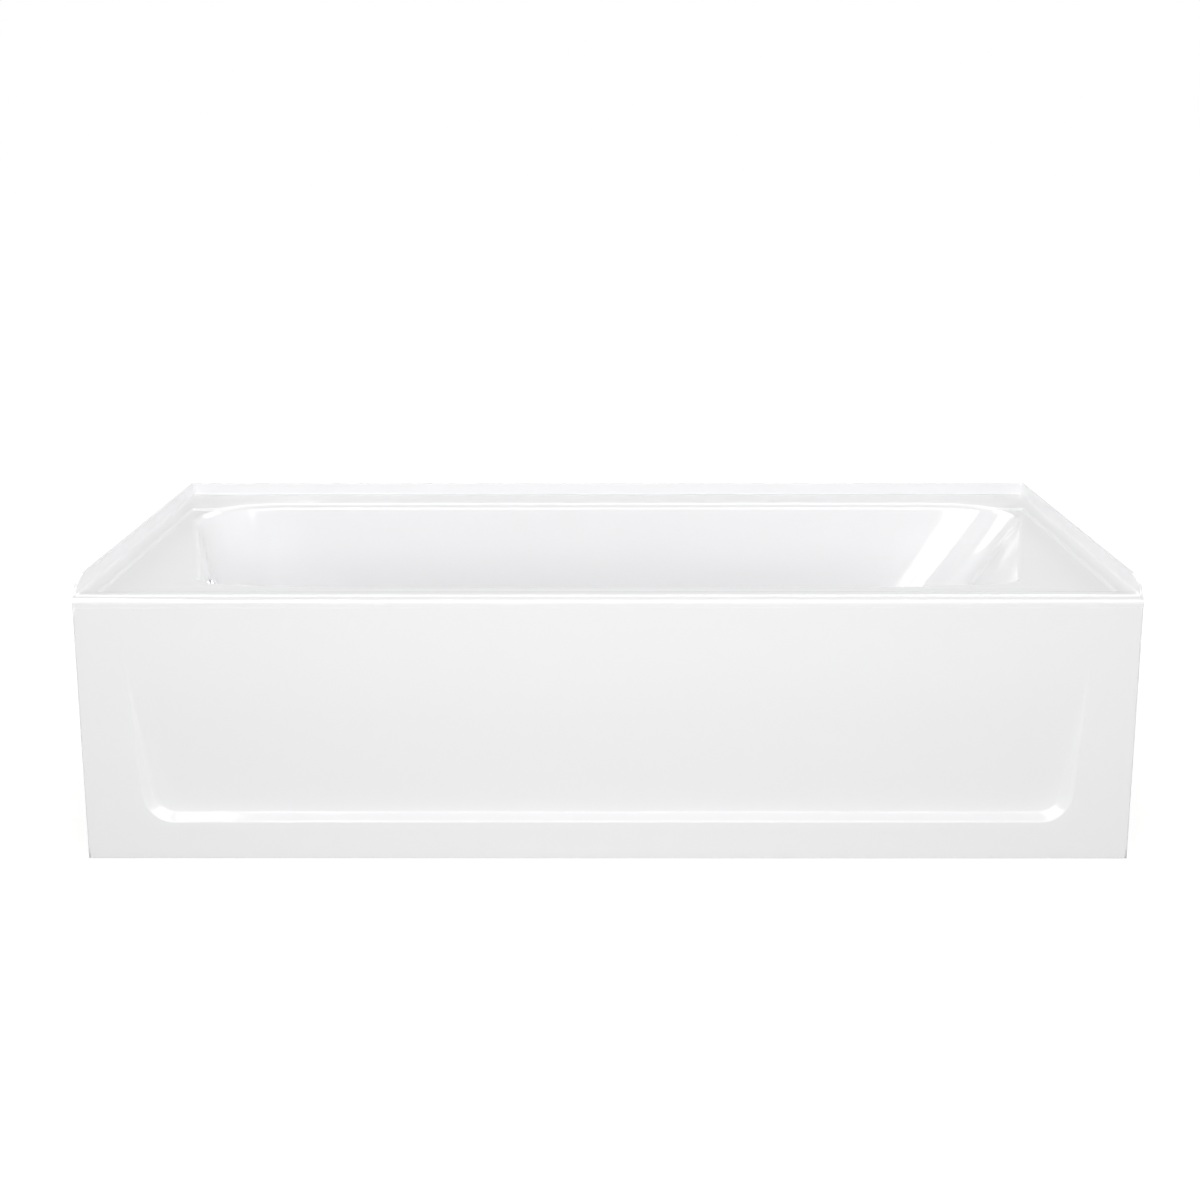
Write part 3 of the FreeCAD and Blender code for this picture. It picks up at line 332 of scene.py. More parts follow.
def half_columns(sign):
    """Columns from the middle of the front to the middle of the back, round one end."""
    near_turn = math.pi / 2 - SPLAY
    far_turn = math.pi / 2 + SPLAY
    columns = []
    straight = FRONT_COLUMNS // 2
    for k in range(FRONT_COLUMNS + 1):
        lead = (k - straight) / (FRONT_COLUMNS - straight) * NEAR_LEAD_TURN
        place = ("front", k / straight) if k < straight else ("near", lead)
        columns.append((sign, place, ("front", k / FRONT_COLUMNS)))
    for k, step in enumerate(FLANGE_STEPS, 1):
        angle = lerp(NEAR_LEAD_TURN, near_turn, k / len(FLANGE_STEPS))
        columns.append((sign, ("near", angle), ("front_end", step / FLANGE_STEPS[-1])))
    end_near = corner_point(sign, True, near_turn, DECK_HEIGHT, 0).y
    end_far = corner_point(sign, False, far_turn, DECK_HEIGHT, 0).y
    for k in range(1, END_COLUMNS + 1):
        share = k / END_COLUMNS
        columns.append((sign, ("end", share), ("side", lerp(end_near, end_far, share))))
    step_start = STEP_LINE + STEP_STEPS[0]
    bend = [lerp(end_far, step_start, (k + 1) / (BEND_COLUMNS + 1)) for k in range(BEND_COLUMNS)]
    bend += [STEP_LINE + step for step in STEP_STEPS]
    for y in bend:
        columns.append((sign, ("far", far_angle(y)), ("side", y)))
    last = far_angle(bend[-1])
    corner = [("side", y) for y in SIDE_STEPS]
    corner += [("corner", math.pi / 2 * k / BACK_CORNER_STEPS) for k in range(BACK_CORNER_STEPS + 1)]
    for k, outer in enumerate(corner, 1):
        angle = lerp(last, FAR_LEAD_TURN, k / len(corner))
        columns.append((sign, ("far", angle), outer))
    lead_steps = BACK_COLUMNS // 4
    for k in range(1, BACK_COLUMNS + 1):
        lead = FAR_LEAD_TURN * (1 - k / lead_steps)
        along = (k - lead_steps) / (BACK_COLUMNS - lead_steps)
        place = ("far", lead) if k < lead_steps else ("back", 1 - along)
        columns.append((sign, place, ("back", 1 - k / BACK_COLUMNS)))
    return columns


COLUMNS = half_columns(1) + half_columns(-1)[-2:0:-1]


# ---- the deck and the ledge round it ----
def ledge_share(x, y, grow):
    """0 on the deck and 1 on the raised ledge."""
    inside = 1.0
    side = HALF - SIDE_LEDGE + grow - abs(x)
    for distance in (side, y - FRONT - FRONT_LEDGE + grow, STEP_LINE + grow - y):
        inside *= ease(distance / STEP_SOFTNESS / 2 + 0.5)
    return 1 - inside


def front_roll_drop(y, grow):
    """How far the rolled front edge lies below the ledge."""
    radius = FRONT_ROLL - grow
    short = radius - (y - FRONT - grow)
    if short <= 0:
        return 0.0
    return radius - math.sqrt(max(radius ** 2 - short ** 2, 0.0))


def ledge_crown(y):
    """The slight crown along the front ledge."""
    middle = (FRONT_ROLL + FRONT_LEDGE) / 2
    reach = (FRONT_LEDGE - FRONT_ROLL) / 2
    away = min(abs(y - FRONT - middle) / reach, 1.0)
    return LEDGE_CROWN * (1 + math.cos(math.pi * away)) / 2


def level_at(x, y, grow):
    """Height of deck or ledge without the front roll."""
    return DECK_HEIGHT + DECK_STEP * ledge_share(x, y, grow) + ledge_crown(y) - grow


def deck_z(x, y, grow):
    """Height of the moulding outside the basin."""
    return level_at(x, y, grow) - front_roll_drop(y, grow)


def edge_point(column, inset, depth):
    """A place this far inside the bath's sides and back, and this far behind the apron's face."""
    sign, _, (part, value) = column
    side_x = HALF - inset
    if part == "front":
        return Vector((sign * side_x * value, FRONT + depth, 0))
    if part == "front_end":
        return Vector((sign * side_x, lerp(FRONT + depth, FRONT + FLANGE_STEPS[-1], value), 0))
    if part == "side":
        return Vector((sign * side_x, value, 0))
    sharp = inset < FLANGE_THICKNESS / 2
    radius = FLANGE_EDGE if sharp else abs(FLANGE_CORNER + FLANGE_THICKNESS - inset)
    if part == "corner":
        return Vector((sign * (side_x - radius + radius * math.cos(value)),
                       BACK - inset - radius + radius * math.sin(value), 0))
    return Vector((sign * (side_x - radius) * value, BACK - inset, 0))


def flange_rise(y):
    """Height of the tile flange over the ledge; its front end drops away in two arcs."""
    depth = y - FRONT
    root, knee = (FLANGE_ROOT, LEDGE_HEIGHT), (FLANGE_KNEE, FLANGE_TOP - FLANGE_KNEE_DROP)
    full = (FLANGE_FULL, FLANGE_TOP)
    start, end = (root, knee) if depth < FLANGE_KNEE else (knee, full)
    share = (depth - start[0]) / (end[0] - start[0])
    bulge = 4 * FLANGE_END_BULGE * max(share * (1 - share), 0.0)
    height = min(lerp(start[1], end[1], share) + bulge, FLANGE_TOP)
    return max(height - LEDGE_HEIGHT + front_roll_drop(y, 0), 0.0)


# ---- rows of the moulded surface, from the drain outwards ----
def floor_z(x, grow):
    """Height of the basin's floor, which falls towards the drain."""
    return FLOOR_HEIGHT + (x - DRAIN_X) * FLOOR_FALL - grow * sloped(FLOOR_FALL)


def drain_rows(feet, grow):
    """Hole and dish round the drain, with a soft edge, turned towards the feet of the coves."""
    edge = DISH_RADIUS + grow
    angles = []
    for number, foot in enumerate(feet):
        even = 2 * math.pi * number / len(feet) - math.pi / 2
        straight = math.atan2(foot.y, foot.x - DRAIN_X)
        angles.append(even + DISH_TURN * math.remainder(straight - even, 2 * math.pi))
    profile = [(DRAIN_HOLE, 0), (DISH_MIDDLE, 0)]
    profile += [(edge + across * MM, share) for across, share in DISH_EDGE]
    rows = []
    for radius, share in profile:
        row = []
        for angle in angles:
            x = DRAIN_X + radius * math.cos(angle)
            z = lerp(FLOOR_HEIGHT - DISH_DEPTH - grow, floor_z(x, grow), share)
            row.append(Vector((x, radius * math.sin(angle), z)))
        rows.append(row)
    return rows


def cove_arc(column, grow):
    """Points from the floor up into the wall."""
    out = basin_normal(column)
    slope = basin_slope(column)
    z = floor_z(basin_point(column, FLOOR_HEIGHT).x, grow)
    foot = basin_point(column, z, grow)
    tilt = math.atan(FLOOR_FALL * out.x)
    turn = math.pi / 2 - math.atan(slope) - tilt
    radius = FLOOR_COVE + grow
    along = out * math.cos(tilt) + Vector((0, 0, math.sin(tilt)))
    up = Vector((0, 0, math.cos(tilt))) - out * math.sin(tilt)
    start = foot - along * radius * math.tan(turn / 2)
    points = []
    for k in range(COVE_ROWS + 1):
        angle = turn * k / COVE_ROWS
        points.append(start + (along * math.sin(angle) + up * (1 - math.cos(angle))) * radius)
    return points


def rim_point(column, share, level, grow):
    """A point on the roll between the wall and the deck."""
    out = basin_normal(column)
    lean = math.atan(basin_slope(column))
    turn = math.pi / 2 - lean
    radius = RIM_ROLL - grow
    wall = out * math.sin(lean) + Vector((0, 0, math.cos(lean)))
    side = out * math.cos(lean) - Vector((0, 0, math.sin(lean)))
    start = basin_point(column, level, grow) - wall * radius * math.tan(turn / 2)
    angle = turn * share
    return start + (wall * math.sin(angle) + side * (1 - math.cos(angle))) * radius


def rim_arc(column, grow):
    """The roll at one column, at the height of the deck or ledge that it reaches."""
    points = []
    for k in range(ROLL_ROWS + 1):
        share = k / ROLL_ROWS
        place = rim_point(column, share, DECK_HEIGHT - grow, grow)
        points.append(rim_point(column, share, level_at(place.x, place.y, grow), grow))
    return points


def basin_rows(grow):
    """Drain, floor, cove, wall and rolled rim."""
    coves = [cove_arc(column, grow) for column in COLUMNS]
    rows = drain_rows([cove[0] for cove in coves], grow)
    rims = [rim_arc(column, grow) for column in COLUMNS]
    dish_edge = rows[-1]
    for share in FLOOR_SHARES:
        row = [(lerp(edge.x, cove[0].x, share), lerp(edge.y, cove[0].y, share ** FLOOR_BEND))
               for edge, cove in zip(dish_edge, coves)]
        rows.append([Vector((x, y, floor_z(x, grow))) for x, y in row])
    rows += [[cove[k] for cove in coves] for k in range(COVE_ROWS + 1)]
    for k in range(1, WALL_ROWS):
        share = k / WALL_ROWS
        rows.append([basin_point(column, lerp(cove[-1].z, rim[0].z, share), grow)
                     for column, cove, rim in zip(COLUMNS, coves, rims)])
    rows += [[rim[k] for rim in rims] for k in range(ROLL_ROWS + 1)]
    return rows


def deck_rows(grow, rim_row):
    """The deck, its step, and the ledge as far as the foot of the flange."""
    pocket = [edge_point(column, SIDE_LEDGE + STEP_REACH, FRONT_LEDGE + STEP_REACH) for column in COLUMNS]
    rows = [[rim.lerp(Vector((p.x, p.y, rim.z)), share) for rim, p in zip(rim_row, pocket)]
            for share in DECK_SHARES]
    for step in (STEP_REACH, *[row * MM for row in STEP_ROWS], -STEP_REACH):
        inset = SIDE_LEDGE + step - grow
        rows.append([edge_point(column, inset, inset + FRONT_LEDGE - SIDE_LEDGE) for column in COLUMNS])
    for share in LEDGE_SHARES:
        inset = lerp(SIDE_LEDGE - STEP_REACH, FLANGE_THICKNESS + FLANGE_FILLET, share)
        depth = lerp(FRONT_LEDGE - STEP_REACH, FRONT_ROLL, share)
        rows.append([edge_point(column, inset, depth) for column in COLUMNS])
    return [[Vector((p.x, p.y, deck_z(p.x, p.y, grow))) for p in row] for row in rows]


def plain_profile(end_inset):
    """Insets of a layer without the flange, from where its foot would be out to here."""
    foot = FLANGE_THICKNESS + FLANGE_FILLET
    return [(lerp(foot, end_inset, k / UNDER_STEPS), 0) for k in range(UNDER_STEPS + 1)]


def flange_profile():
    """Inset and share of the height: fillet, inner face, rounded top, outer face."""
    height = FLANGE_TOP - LEDGE_HEIGHT
    foot = FLANGE_THICKNESS + FLANGE_FILLET
    points = []
    for k in range(FILLET_STEPS + 1):
        angle = math.pi / 2 * k / FILLET_STEPS
        points.append((foot - FLANGE_FILLET * math.sin(angle), FLANGE_FILLET * (1 - math.cos(angle))))
    bend = [math.pi / 2 * k / TOP_EDGE_STEPS for k in range(TOP_EDGE_STEPS + 1)]
    for angle in bend:
        points.append((FLANGE_THICKNESS - FLANGE_EDGE * (1 - math.cos(angle)),
                       height - FLANGE_EDGE * (1 - math.sin(angle))))
    for angle in bend:
        points.append((FLANGE_EDGE * (1 - math.sin(angle)), height - FLANGE_EDGE * (1 - math.cos(angle))))
    return [(inset, rise / height) for inset, rise in points]


def outer_rows(grow, profile):
    """The flange on three sides, and the front roll with as many rows."""
    rows = []
    for k, (inset, rise) in enumerate(profile):
        angle = math.pi / 2 * k / (len(profile) - 1)
        depth = FRONT_ROLL - (FRONT_ROLL - grow) * math.sin(angle)
        row = []
        for column in COLUMNS:
            p = edge_point(column, inset, depth)
            height = flange_rise(p.y) if rise and column[2][0] != "front" else 0.0
            row.append(Vector((p.x, p.y, deck_z(p.x, p.y, grow) + rise * height)))
        rows.append(row)
    return rows


def lip_row(inset, depth, grow):
    """Lower edge of the moulding: under the roll in front, under the ledge at the sides and back."""
    row = []
    for column in COLUMNS:
        p = edge_point(column, inset, depth)
        under_roll = p.y - FRONT < grow + LIP_MARGIN
        row.append(Vector((p.x, p.y, LIP_BOTTOM if under_roll else deck_z(p.x, p.y, grow))))
    return row


def moulded_layer(outer, inner, profile):
    """Rows right round one layer of the moulding, from its top face to its underside."""
    top = basin_rows(outer)
    top += deck_rows(outer, top[-1])
    top += outer_rows(outer, profile)
    under = basin_rows(inner)
    under += deck_rows(inner, under[-1])
    under += outer_rows(inner, plain_profile(UNDER_INSET))
    lip = [lip_row(0, outer, inner), lip_row(LIP_INSET, inner, inner)]
    return top + lip + under[::-1]


def overflow_cutter():
    """A plug through the drain end wall, square to it."""
    across = Vector((math.cos(SPLAY), math.sin(SPLAY), 0))
    rise = math.atan(DRAIN_END_SLOPE * math.cos(SPLAY))
    inwards = across * math.cos(rise) + Vector((0, 0, math.sin(rise)))
    y = inwards.y * OVERFLOW_REACH
    middle = Vector((-end_wall_x(-1, y, OVERFLOW_HEIGHT, 0), y, OVERFLOW_HEIGHT))
    bm = bmesh.new()
    turn = Vector((0, 0, 1)).rotation_difference(inwards).to_matrix().to_4x4()
    bmesh.ops.create_cone(bm, cap_ends=True, segments=64, radius1=OVERFLOW_HOLE, radius2=OVERFLOW_HOLE,
                          depth=4 * WALL, matrix=Matrix.Translation(middle) @ turn)
    return piece(bm, "overflow_cutter")


def bath_shell():
    """The moulded acrylic skin with the overflow's hole."""
    made = piece(ring_mesh(moulded_layer(0.0, SKIN, flange_profile())), "moulded_shell")
    cut(made, overflow_cutter())
    return made


def sprayed_backing():
    """The glass fibre under the moulding, uneven where the roller pressed it down."""
    bm = ring_mesh(moulded_layer(SKIN, WALL, plain_profile(0.0)))
    half = len(bm.verts) // 2
    bm.normal_update()
    bm.verts.ensure_lookup_table()
    for vert in bm.verts[half:]:
        lump = sum(height * noise.noise(vert.co / size) for size, height in LUMP_SIZES)
        vert.co += vert.normal * lump * STRAND_LUMPS
    made = piece(bm, "sprayed_backing")
    cut(made, overflow_cutter())
    return made


# ---- apron ----
def panel_depth(z):
    """How far the panel lies behind the face: a wide bend and then a straight tilt."""
    drop = PANEL_TOP - z
    bend = PANEL_BEND * math.sin(PANEL_TILT)
    if drop <= 0:
        return 0.0
    if drop < bend:
        return PANEL_BEND - math.sqrt(PANEL_BEND ** 2 - drop ** 2)
    return PANEL_BEND * (1 - math.cos(PANEL_TILT)) + (drop - bend) * math.tan(PANEL_TILT)


def soft_ramp(run, soft):
    """0 before the edge and the run itself behind it, with a soft start."""
    if run <= -soft:
        return 0.0
    return run if run >= soft else (run + soft) ** 2 / (4 * soft)


def recess_depth(run, z, bevel):
    """Depth of the recess at a distance inside its outline."""
    whole = bevel * panel_depth(z)
    return (soft_ramp(run, RECESS_ROUNDING) - soft_ramp(run - whole, RECESS_ROUNDING)) / bevel


def recess_columns():
    """Round the closed U from its lower middle: place on it, way inwards, bevel, and place on the face's
    outline. The lower bevel is steeper than the side bevels, and the corner changes from one to the other."""
    lean = math.atan(RECESS_LEAN)
    side = Vector((-math.cos(lean), 0, math.sin(lean)))
    setback = RECESS_CORNER * math.tan((math.pi / 2 - lean) / 2)
    low_x = HALF - RECESS_END_MARGIN
    arc_x = low_x - setback
    arc_middle = Vector((arc_x, 0, RECESS_BOTTOM + RECESS_CORNER))
    arc_end = arc_middle - side * RECESS_CORNER
    top_x = low_x + RECESS_LEAN * (RECESS_CLOSED - RECESS_BOTTOM)
    face_x = HALF - APRON_EDGE
    mitre = Vector((-(1 + math.sin(lean)) / math.cos(lean), 0, -1))

    def travel(inward):
        """Way inwards per distance from the U, and the bevel, which changes evenly round the corner."""
        mean = (RECESS_LOW_BEVEL + RECESS_SIDE_BEVEL) / 2
        change = (RECESS_SIDE_BEVEL - RECESS_LOW_BEVEL) / 2
        way = inward * mean + mitre * change
        bevel = way.dot(inward)
        return way / bevel, bevel

    half_ring = []
    low_way = travel(Vector((0, 0, 1)))[0]
    for k in range(RECESS_RUN // 2):
        share = k / (RECESS_RUN // 2)
        x = arc_x * share
        half_ring.append((Vector((x, 0, RECESS_BOTTOM)), Vector((low_way.x * share, 0, 1)), RECESS_LOW_BEVEL,
                          Vector((x, 0, 0))))
    for k in range(RECESS_TURN + 1):
        angle = (math.pi / 2 - lean) * k / RECESS_TURN
        inward = Vector((-math.sin(angle), 0, math.cos(angle)))
        share = 2 * k / RECESS_TURN
        outline = Vector((lerp(arc_x, face_x, min(share, 1)), 0, lerp(0, arc_end.z, max(share - 1, 0))))
        half_ring.append((arc_middle - inward * RECESS_CORNER, *travel(inward), outline))
    side_way = travel(side)[0]
    for k in range(1, RECESS_SIDE):
        share = k / RECESS_SIDE
        place = arc_end.lerp(Vector((top_x, 0, RECESS_CLOSED)), share)
        outline = Vector((face_x, 0, lerp(arc_end.z, APRON_TOP, share)))
        half_ring.append((place, side_way.lerp(mitre, share), RECESS_SIDE_BEVEL, outline))
    half_ring.append((Vector((top_x, 0, RECESS_CLOSED)), mitre, RECESS_SIDE_BEVEL,
                      Vector((face_x, 0, APRON_TOP))))
    steps = RECESS_RUN // 2 + RECESS_TURN
    for k in range(1, steps + 1):
        share = 1 - k / steps
        half_ring.append((Vector((top_x * share, 0, RECESS_CLOSED)), Vector((0, 0, -1)).lerp(mitre, share),
                          RECESS_SIDE_BEVEL, Vector((face_x * share, 0, APRON_TOP))))
    mirror = Matrix.Scale(-1, 3, (1, 0, 0))
    mirrored = [(mirror @ place, mirror @ inward, bevel, mirror @ outline)
                for place, inward, bevel, outline in half_ring[-2:0:-1]]
    return half_ring + mirrored


def recess_rows(columns):
    """Rows of the face from the panel outwards to the outline."""
    soft = RECESS_ROUNDING
    rounding = (soft, soft / 2, 0, -soft / 2, -soft)
    places = [(1, extra) for extra in PANEL_ROWS + rounding]
    places += [(share, 0) for share in BEVEL_SHARES]
    places += [(0, extra) for extra in rounding]
    rows = []
    for share, extra in places:
        row = []
        for place, inward, bevel, _ in columns:
            run = 0.0
            for _ in range(RECESS_TRIES):
                whole = max(bevel * panel_depth(place.z + inward.z * run), LEAST_BEVEL)
                run = share * whole + extra
            point = place + inward * run
            row.append(Vector((point.x, FRONT + recess_depth(run, point.z, bevel), point.z)))
        rows.append(row)
    outer_edge = rows[-1]
    for share in FACE_SHARES:
        rows.append([edge.lerp(Vector((outline.x, FRONT, outline.z)), share)
                     for edge, (*_, outline) in zip(outer_edge, columns)])
    return rows


def fill_panel(bm, columns):
    """Fills the panel with a grid between its lower and its upper side, on the panel's own surface."""
    number = bm.verts.layers.int["column"]
    reach = RECESS_RUN // 2 + RECESS_TURN
    inner = [edge for edge in bm.edges if edge.is_boundary
             and all(RECESS_BOTTOM < vert.co.z < RECESS_CLOSED for vert in edge.verts)
             and all(abs(vert.co.x) < HALF - RECESS_END_MARGIN for vert in edge.verts)]
    low = [edge for edge in inner
           if all(min(vert[number], len(columns) - vert[number]) <= reach for vert in edge.verts)]
    high = [edge for edge in inner
            if all(abs(vert[number] - len(columns) // 2) <= reach for vert in edge.verts)]
    filled = bmesh.ops.grid_fill(bm, edges=low + high)
    for vert in {vert for face in filled["faces"] for vert in face.verts}:
        vert.co.y = FRONT + panel_depth(vert.co.z)


def add_return(bm, sign):
    """The rounded edge and the return at one end of the apron."""
    edges = [edge for edge in bm.edges if edge.is_boundary
             and all(abs(vert.co.x - sign * (HALF - APRON_EDGE)) < SAME_PLACE for vert in edge.verts)]
    bends = [math.pi / 2 * k / APRON_EDGE_STEPS for k in range(1, APRON_EDGE_STEPS + 1)]
    steps = [(APRON_EDGE * math.sin(bend), APRON_EDGE * (1 - math.cos(bend))) for bend in bends]
    for across, back in steps + [(APRON_EDGE, APRON_RETURN)]:
        grown = bmesh.ops.extrude_edge_only(bm, edges=edges)["geom"]
        edges = [item for item in grown if isinstance(item, bmesh.types.BMEdge)]
        for vert in grown:
            if isinstance(vert, bmesh.types.BMVert):
                vert.co.x = sign * (HALF - APRON_EDGE + across)
                vert.co.y = FRONT + back


def apron_panel():
    """The moulded apron: face with recess, rounded ends and returns, as a sheet of even thickness."""
    columns = recess_columns()
    bm = ring_mesh(recess_rows(columns), closed=False)
    fill_panel(bm, columns)
    for sign in (-1, 1):
        add_return(bm, sign)
    made = piece(bm, "moulded_apron")
    face = max(made.data.polygons, key=lambda polygon: polygon.area)
    if face.normal.y > 0:
        made.data.flip_normals()
    sheet = made.modifiers.new("sheet", "SOLIDIFY")
    sheet.thickness = SKIN
    sheet.offset = -1
    sheet.use_even_offset = True
    return made


# ---- finishes ----
def linear(hex_colour):
    """An sRGB colour such as #F2F2F2 as the linear colour that the shaders take."""
    values = [int(hex_colour[k:k + 2], 16) / 255 for k in (1, 3, 5)]
    values = [v / 12.92 if v <= 0.04045 else ((v + 0.055) / 1.055) ** 2.4 for v in values]
    return (*values, 1.0)


def add(tree, kind, settings=None, links=None):
    """Adds a shader node. Settings are its properties, socket values and colour stops (both ends first,
    then any between), and links feed its sockets from other nodes or from one of their outputs."""
    made = tree.nodes.new("ShaderNode" + kind)
    for key, value in (settings or {}).items():
        if key == "stops":
            ramp = made.color_ramp
            for position, _ in value[2:]:
                ramp.elements.new(position)
            for element, (position, hex_colour) in zip(ramp.elements, value):
                element.position = position
                element.color = linear(hex_colour)
        elif isinstance(key, str) and hasattr(made, key):
            setattr(made, key, value)
        else:
            made.inputs[key].default_value = value
    for key, source in (links or {}).items():
        tree.links.new(source.outputs[0] if isinstance(source, bpy.types.Node) else source, made.inputs[key])
    return made


def finish(material, sockets, links, bump, depth):
    """Closes a material: even values go on the shader itself, patterns are linked to it, and the bump has
    a real depth."""
    tree = material.node_tree
    shader = tree.nodes["Principled BSDF"]
    for key, value in sockets.items():
        shader.inputs[key].default_value = value
    for key, source in links.items():
        tree.links.new(source.outputs[0], shader.inputs[key])
    relief = add(tree, "Bump", {"Strength": 1.0, "Distance": depth}, {"Height": bump})
    tree.links.new(relief.outputs[0], shader.inputs["Normal"])
    return material


def start(name):
    """A new material, its tree, and the place on the object in metres."""
    material = bpy.data.materials.new(name)
    material.use_nodes = True
    tree = material.node_tree
    return material, tree, add(tree, "TexCoord").outputs["Object"]


def per_size(*sizes):
    """Mapping scales at which a noise lump is as large as these sizes along X, Y and Z, or as one size
    along all three."""
    return tuple(1 / size for size in (sizes if len(sizes) == 3 else sizes * 3))


def thermoformed_acrylic():
    """Cast acrylic sheet drawn over a mould: bright white, a clear gloss, and the faint waviness of
    drawn sheet, seen only where something bright is mirrored in it."""
    material, tree, place = start("thermoformed_white_acrylic")
    large = add(tree, "Mapping", {"Scale": per_size(70 * MM)}, {"Vector": place})
    haze = add(tree, "TexNoise", {"Scale": 1.0, "Detail": 3.0}, {"Vector": large})
    gloss = add(tree, "MapRange", {"From Min": 0.3, "From Max": 0.7, "To Min": 0.06, "To Max": 0.1},
                {"Value": haze})
    fine = add(tree, "Mapping", {"Scale": per_size(26 * MM)}, {"Vector": place})
    waves = add(tree, "TexNoise", {"Scale": 1.0, "Detail": 1.0}, {"Vector": fine})
    return finish(material, {"Base Color": linear("#F8F8F9"), "IOR": 1.49}, {"Roughness": gloss},
                  waves, 0.012 * MM)


def chopped_strand_backing():
    """Chopped glass strands sprayed with polyester resin and rolled down: dull amber white, strands
    30 mm long lying every way, and resin-rich patches with some gloss."""
    material, tree, place = start("sprayed_glass_fibre")
    layers = []
    for turn in ((0.3, 0.2, 0.1), (1.3, 0.9, 0.5), (2.2, 0.4, 1.9), (0.7, 2.4, 1.1)):
        turned = add(tree, "Mapping", {"Rotation": turn, "Location": turn}, {"Vector": place})
        drawn = add(tree, "Mapping", {"Scale": per_size(30 * MM, 1.6 * MM, 1.6 * MM)}, {"Vector": turned})
        layers.append(add(tree, "TexNoise", {"Scale": 1.0, "Detail": 1.0}, {"Vector": drawn}))
    strands = layers[0]
    for layer in layers[1:]:
        strands = add(tree, "Math", {"operation": "MAXIMUM"}, {0: strands, 1: layer})
    large = add(tree, "Mapping", {"Scale": per_size(60 * MM)}, {"Vector": place})
    resin = add(tree, "TexNoise", {"Scale": 1.0, "Detail": 3.0}, {"Vector": large})
    mixed = add(tree, "Math", {"operation": "MULTIPLY_ADD", 1: 0.35}, {0: resin, 2: strands})
    shade = add(tree, "MapRange", {"From Min": 0.66, "From Max": 0.96}, {"Value": mixed})
    colour = add(tree, "ValToRGB", {"stops": ((0.0, "#A89E83"), (1.0, "#E4DECB"), (0.45, "#C9C1A8"))},
                 {"Fac": shade})
    gloss = add(tree, "MapRange", {"From Min": 0.35, "From Max": 0.65, "To Min": 0.3, "To Max": 0.65},
                {"Value": resin})
    return finish(material, {"IOR": 1.55}, {"Base Color": colour, "Roughness": gloss}, strands, 1.2 * MM)


def sawn_spruce(along):
    """Sawn spruce: pale straw wood, late-wood lines 3 to 5 mm apart along the piece, and the furry
    marks of the saw."""
    material, tree, place = start("sawn_spruce_along_" + along)
    sizes = [11 * MM] * 3
    marks = [1.2 * MM] * 3
    sizes["xyz".index(along)] = 420 * MM
    marks["xyz".index(along)] = 9 * MM
    drawn = add(tree, "Mapping", {"Scale": per_size(*sizes)}, {"Vector": place})
    growth = add(tree, "TexNoise", {"Scale": 1.0, "Detail": 2.0, "Roughness": 0.4}, {"Vector": drawn})
    year = 0.045    # of the noise's range
    rings = add(tree, "Math", {"operation": "PINGPONG", 1: year}, {0: growth})
    late = add(tree, "MapRange", {"From Min": 0.0, "From Max": year}, {"Value": rings})
    colour = add(tree, "ValToRGB", {"stops": ((0.0, "#B98E57"), (1.0, "#E5CC9F"), (0.3, "#D6B481"))},
                 {"Fac": late})
    sawn = add(tree, "Mapping", {"Scale": per_size(*marks)}, {"Vector": place})
    fur = add(tree, "TexNoise", {"Scale": 1.0, "Detail": 2.0}, {"Vector": sawn})
    dull = add(tree, "MapRange", {"From Min": 0.3, "From Max": 0.7, "To Min": 0.6, "To Max": 0.85},
               {"Value": fur})
    return finish(material, {"IOR": 1.5}, {"Base Color": colour, "Roughness": dull}, fur, 0.35 * MM)


def particle_board():
    """Pressed wood chips, sanded: tan ground with light and dark chips of 1 to 4 mm."""
    material, tree, place = start("sanded_particle_board")
    drawn = add(tree, "Mapping", {"Scale": per_size(3.4 * MM, 2.2 * MM, 2.2 * MM)}, {"Vector": place})
    chips = add(tree, "TexVoronoi", {"Scale": 1.0, "Randomness": 1.0}, {"Vector": drawn})
    shade = add(tree, "SeparateColor", links={0: chips.outputs["Color"]})
    colour = add(tree, "ValToRGB", {"stops": ((0.0, "#8E6F46"), (1.0, "#D3BB90"), (0.5, "#B89A6C"))},
                 {"Fac": shade})
    return finish(material, {"IOR": 1.5, "Roughness": 0.8}, {"Base Color": colour},
                  chips.outputs["Distance"], 0.2 * MM)


def worked_surface(name, sockets, lump, stops, mark, dull, depth):
    """One build for the small fittings: a cloudy colour in lumps, and marks of the tool or the mould
    that change the gloss and stand up by a real depth."""
    material, tree, place = start(name)
    large = add(tree, "Mapping", {"Scale": per_size(lump)}, {"Vector": place})
    clouds = add(tree, "TexNoise", {"Scale": 1.0, "Detail": 4.0}, {"Vector": large})
    colour = add(tree, "ValToRGB", {"stops": stops}, {"Fac": clouds})
    fine = add(tree, "Mapping", {"Scale": per_size(*mark)}, {"Vector": place})
    marks = add(tree, "TexNoise", {"Scale": 1.0, "Detail": 2.0}, {"Vector": fine})
    gloss = add(tree, "MapRange", {"From Min": 0.3, "From Max": 0.7, "To Min": dull[0], "To Max": dull[1]},
                {"Value": marks})
    return finish(material, sockets, {"Base Color": colour, "Roughness": gloss}, marks, depth)


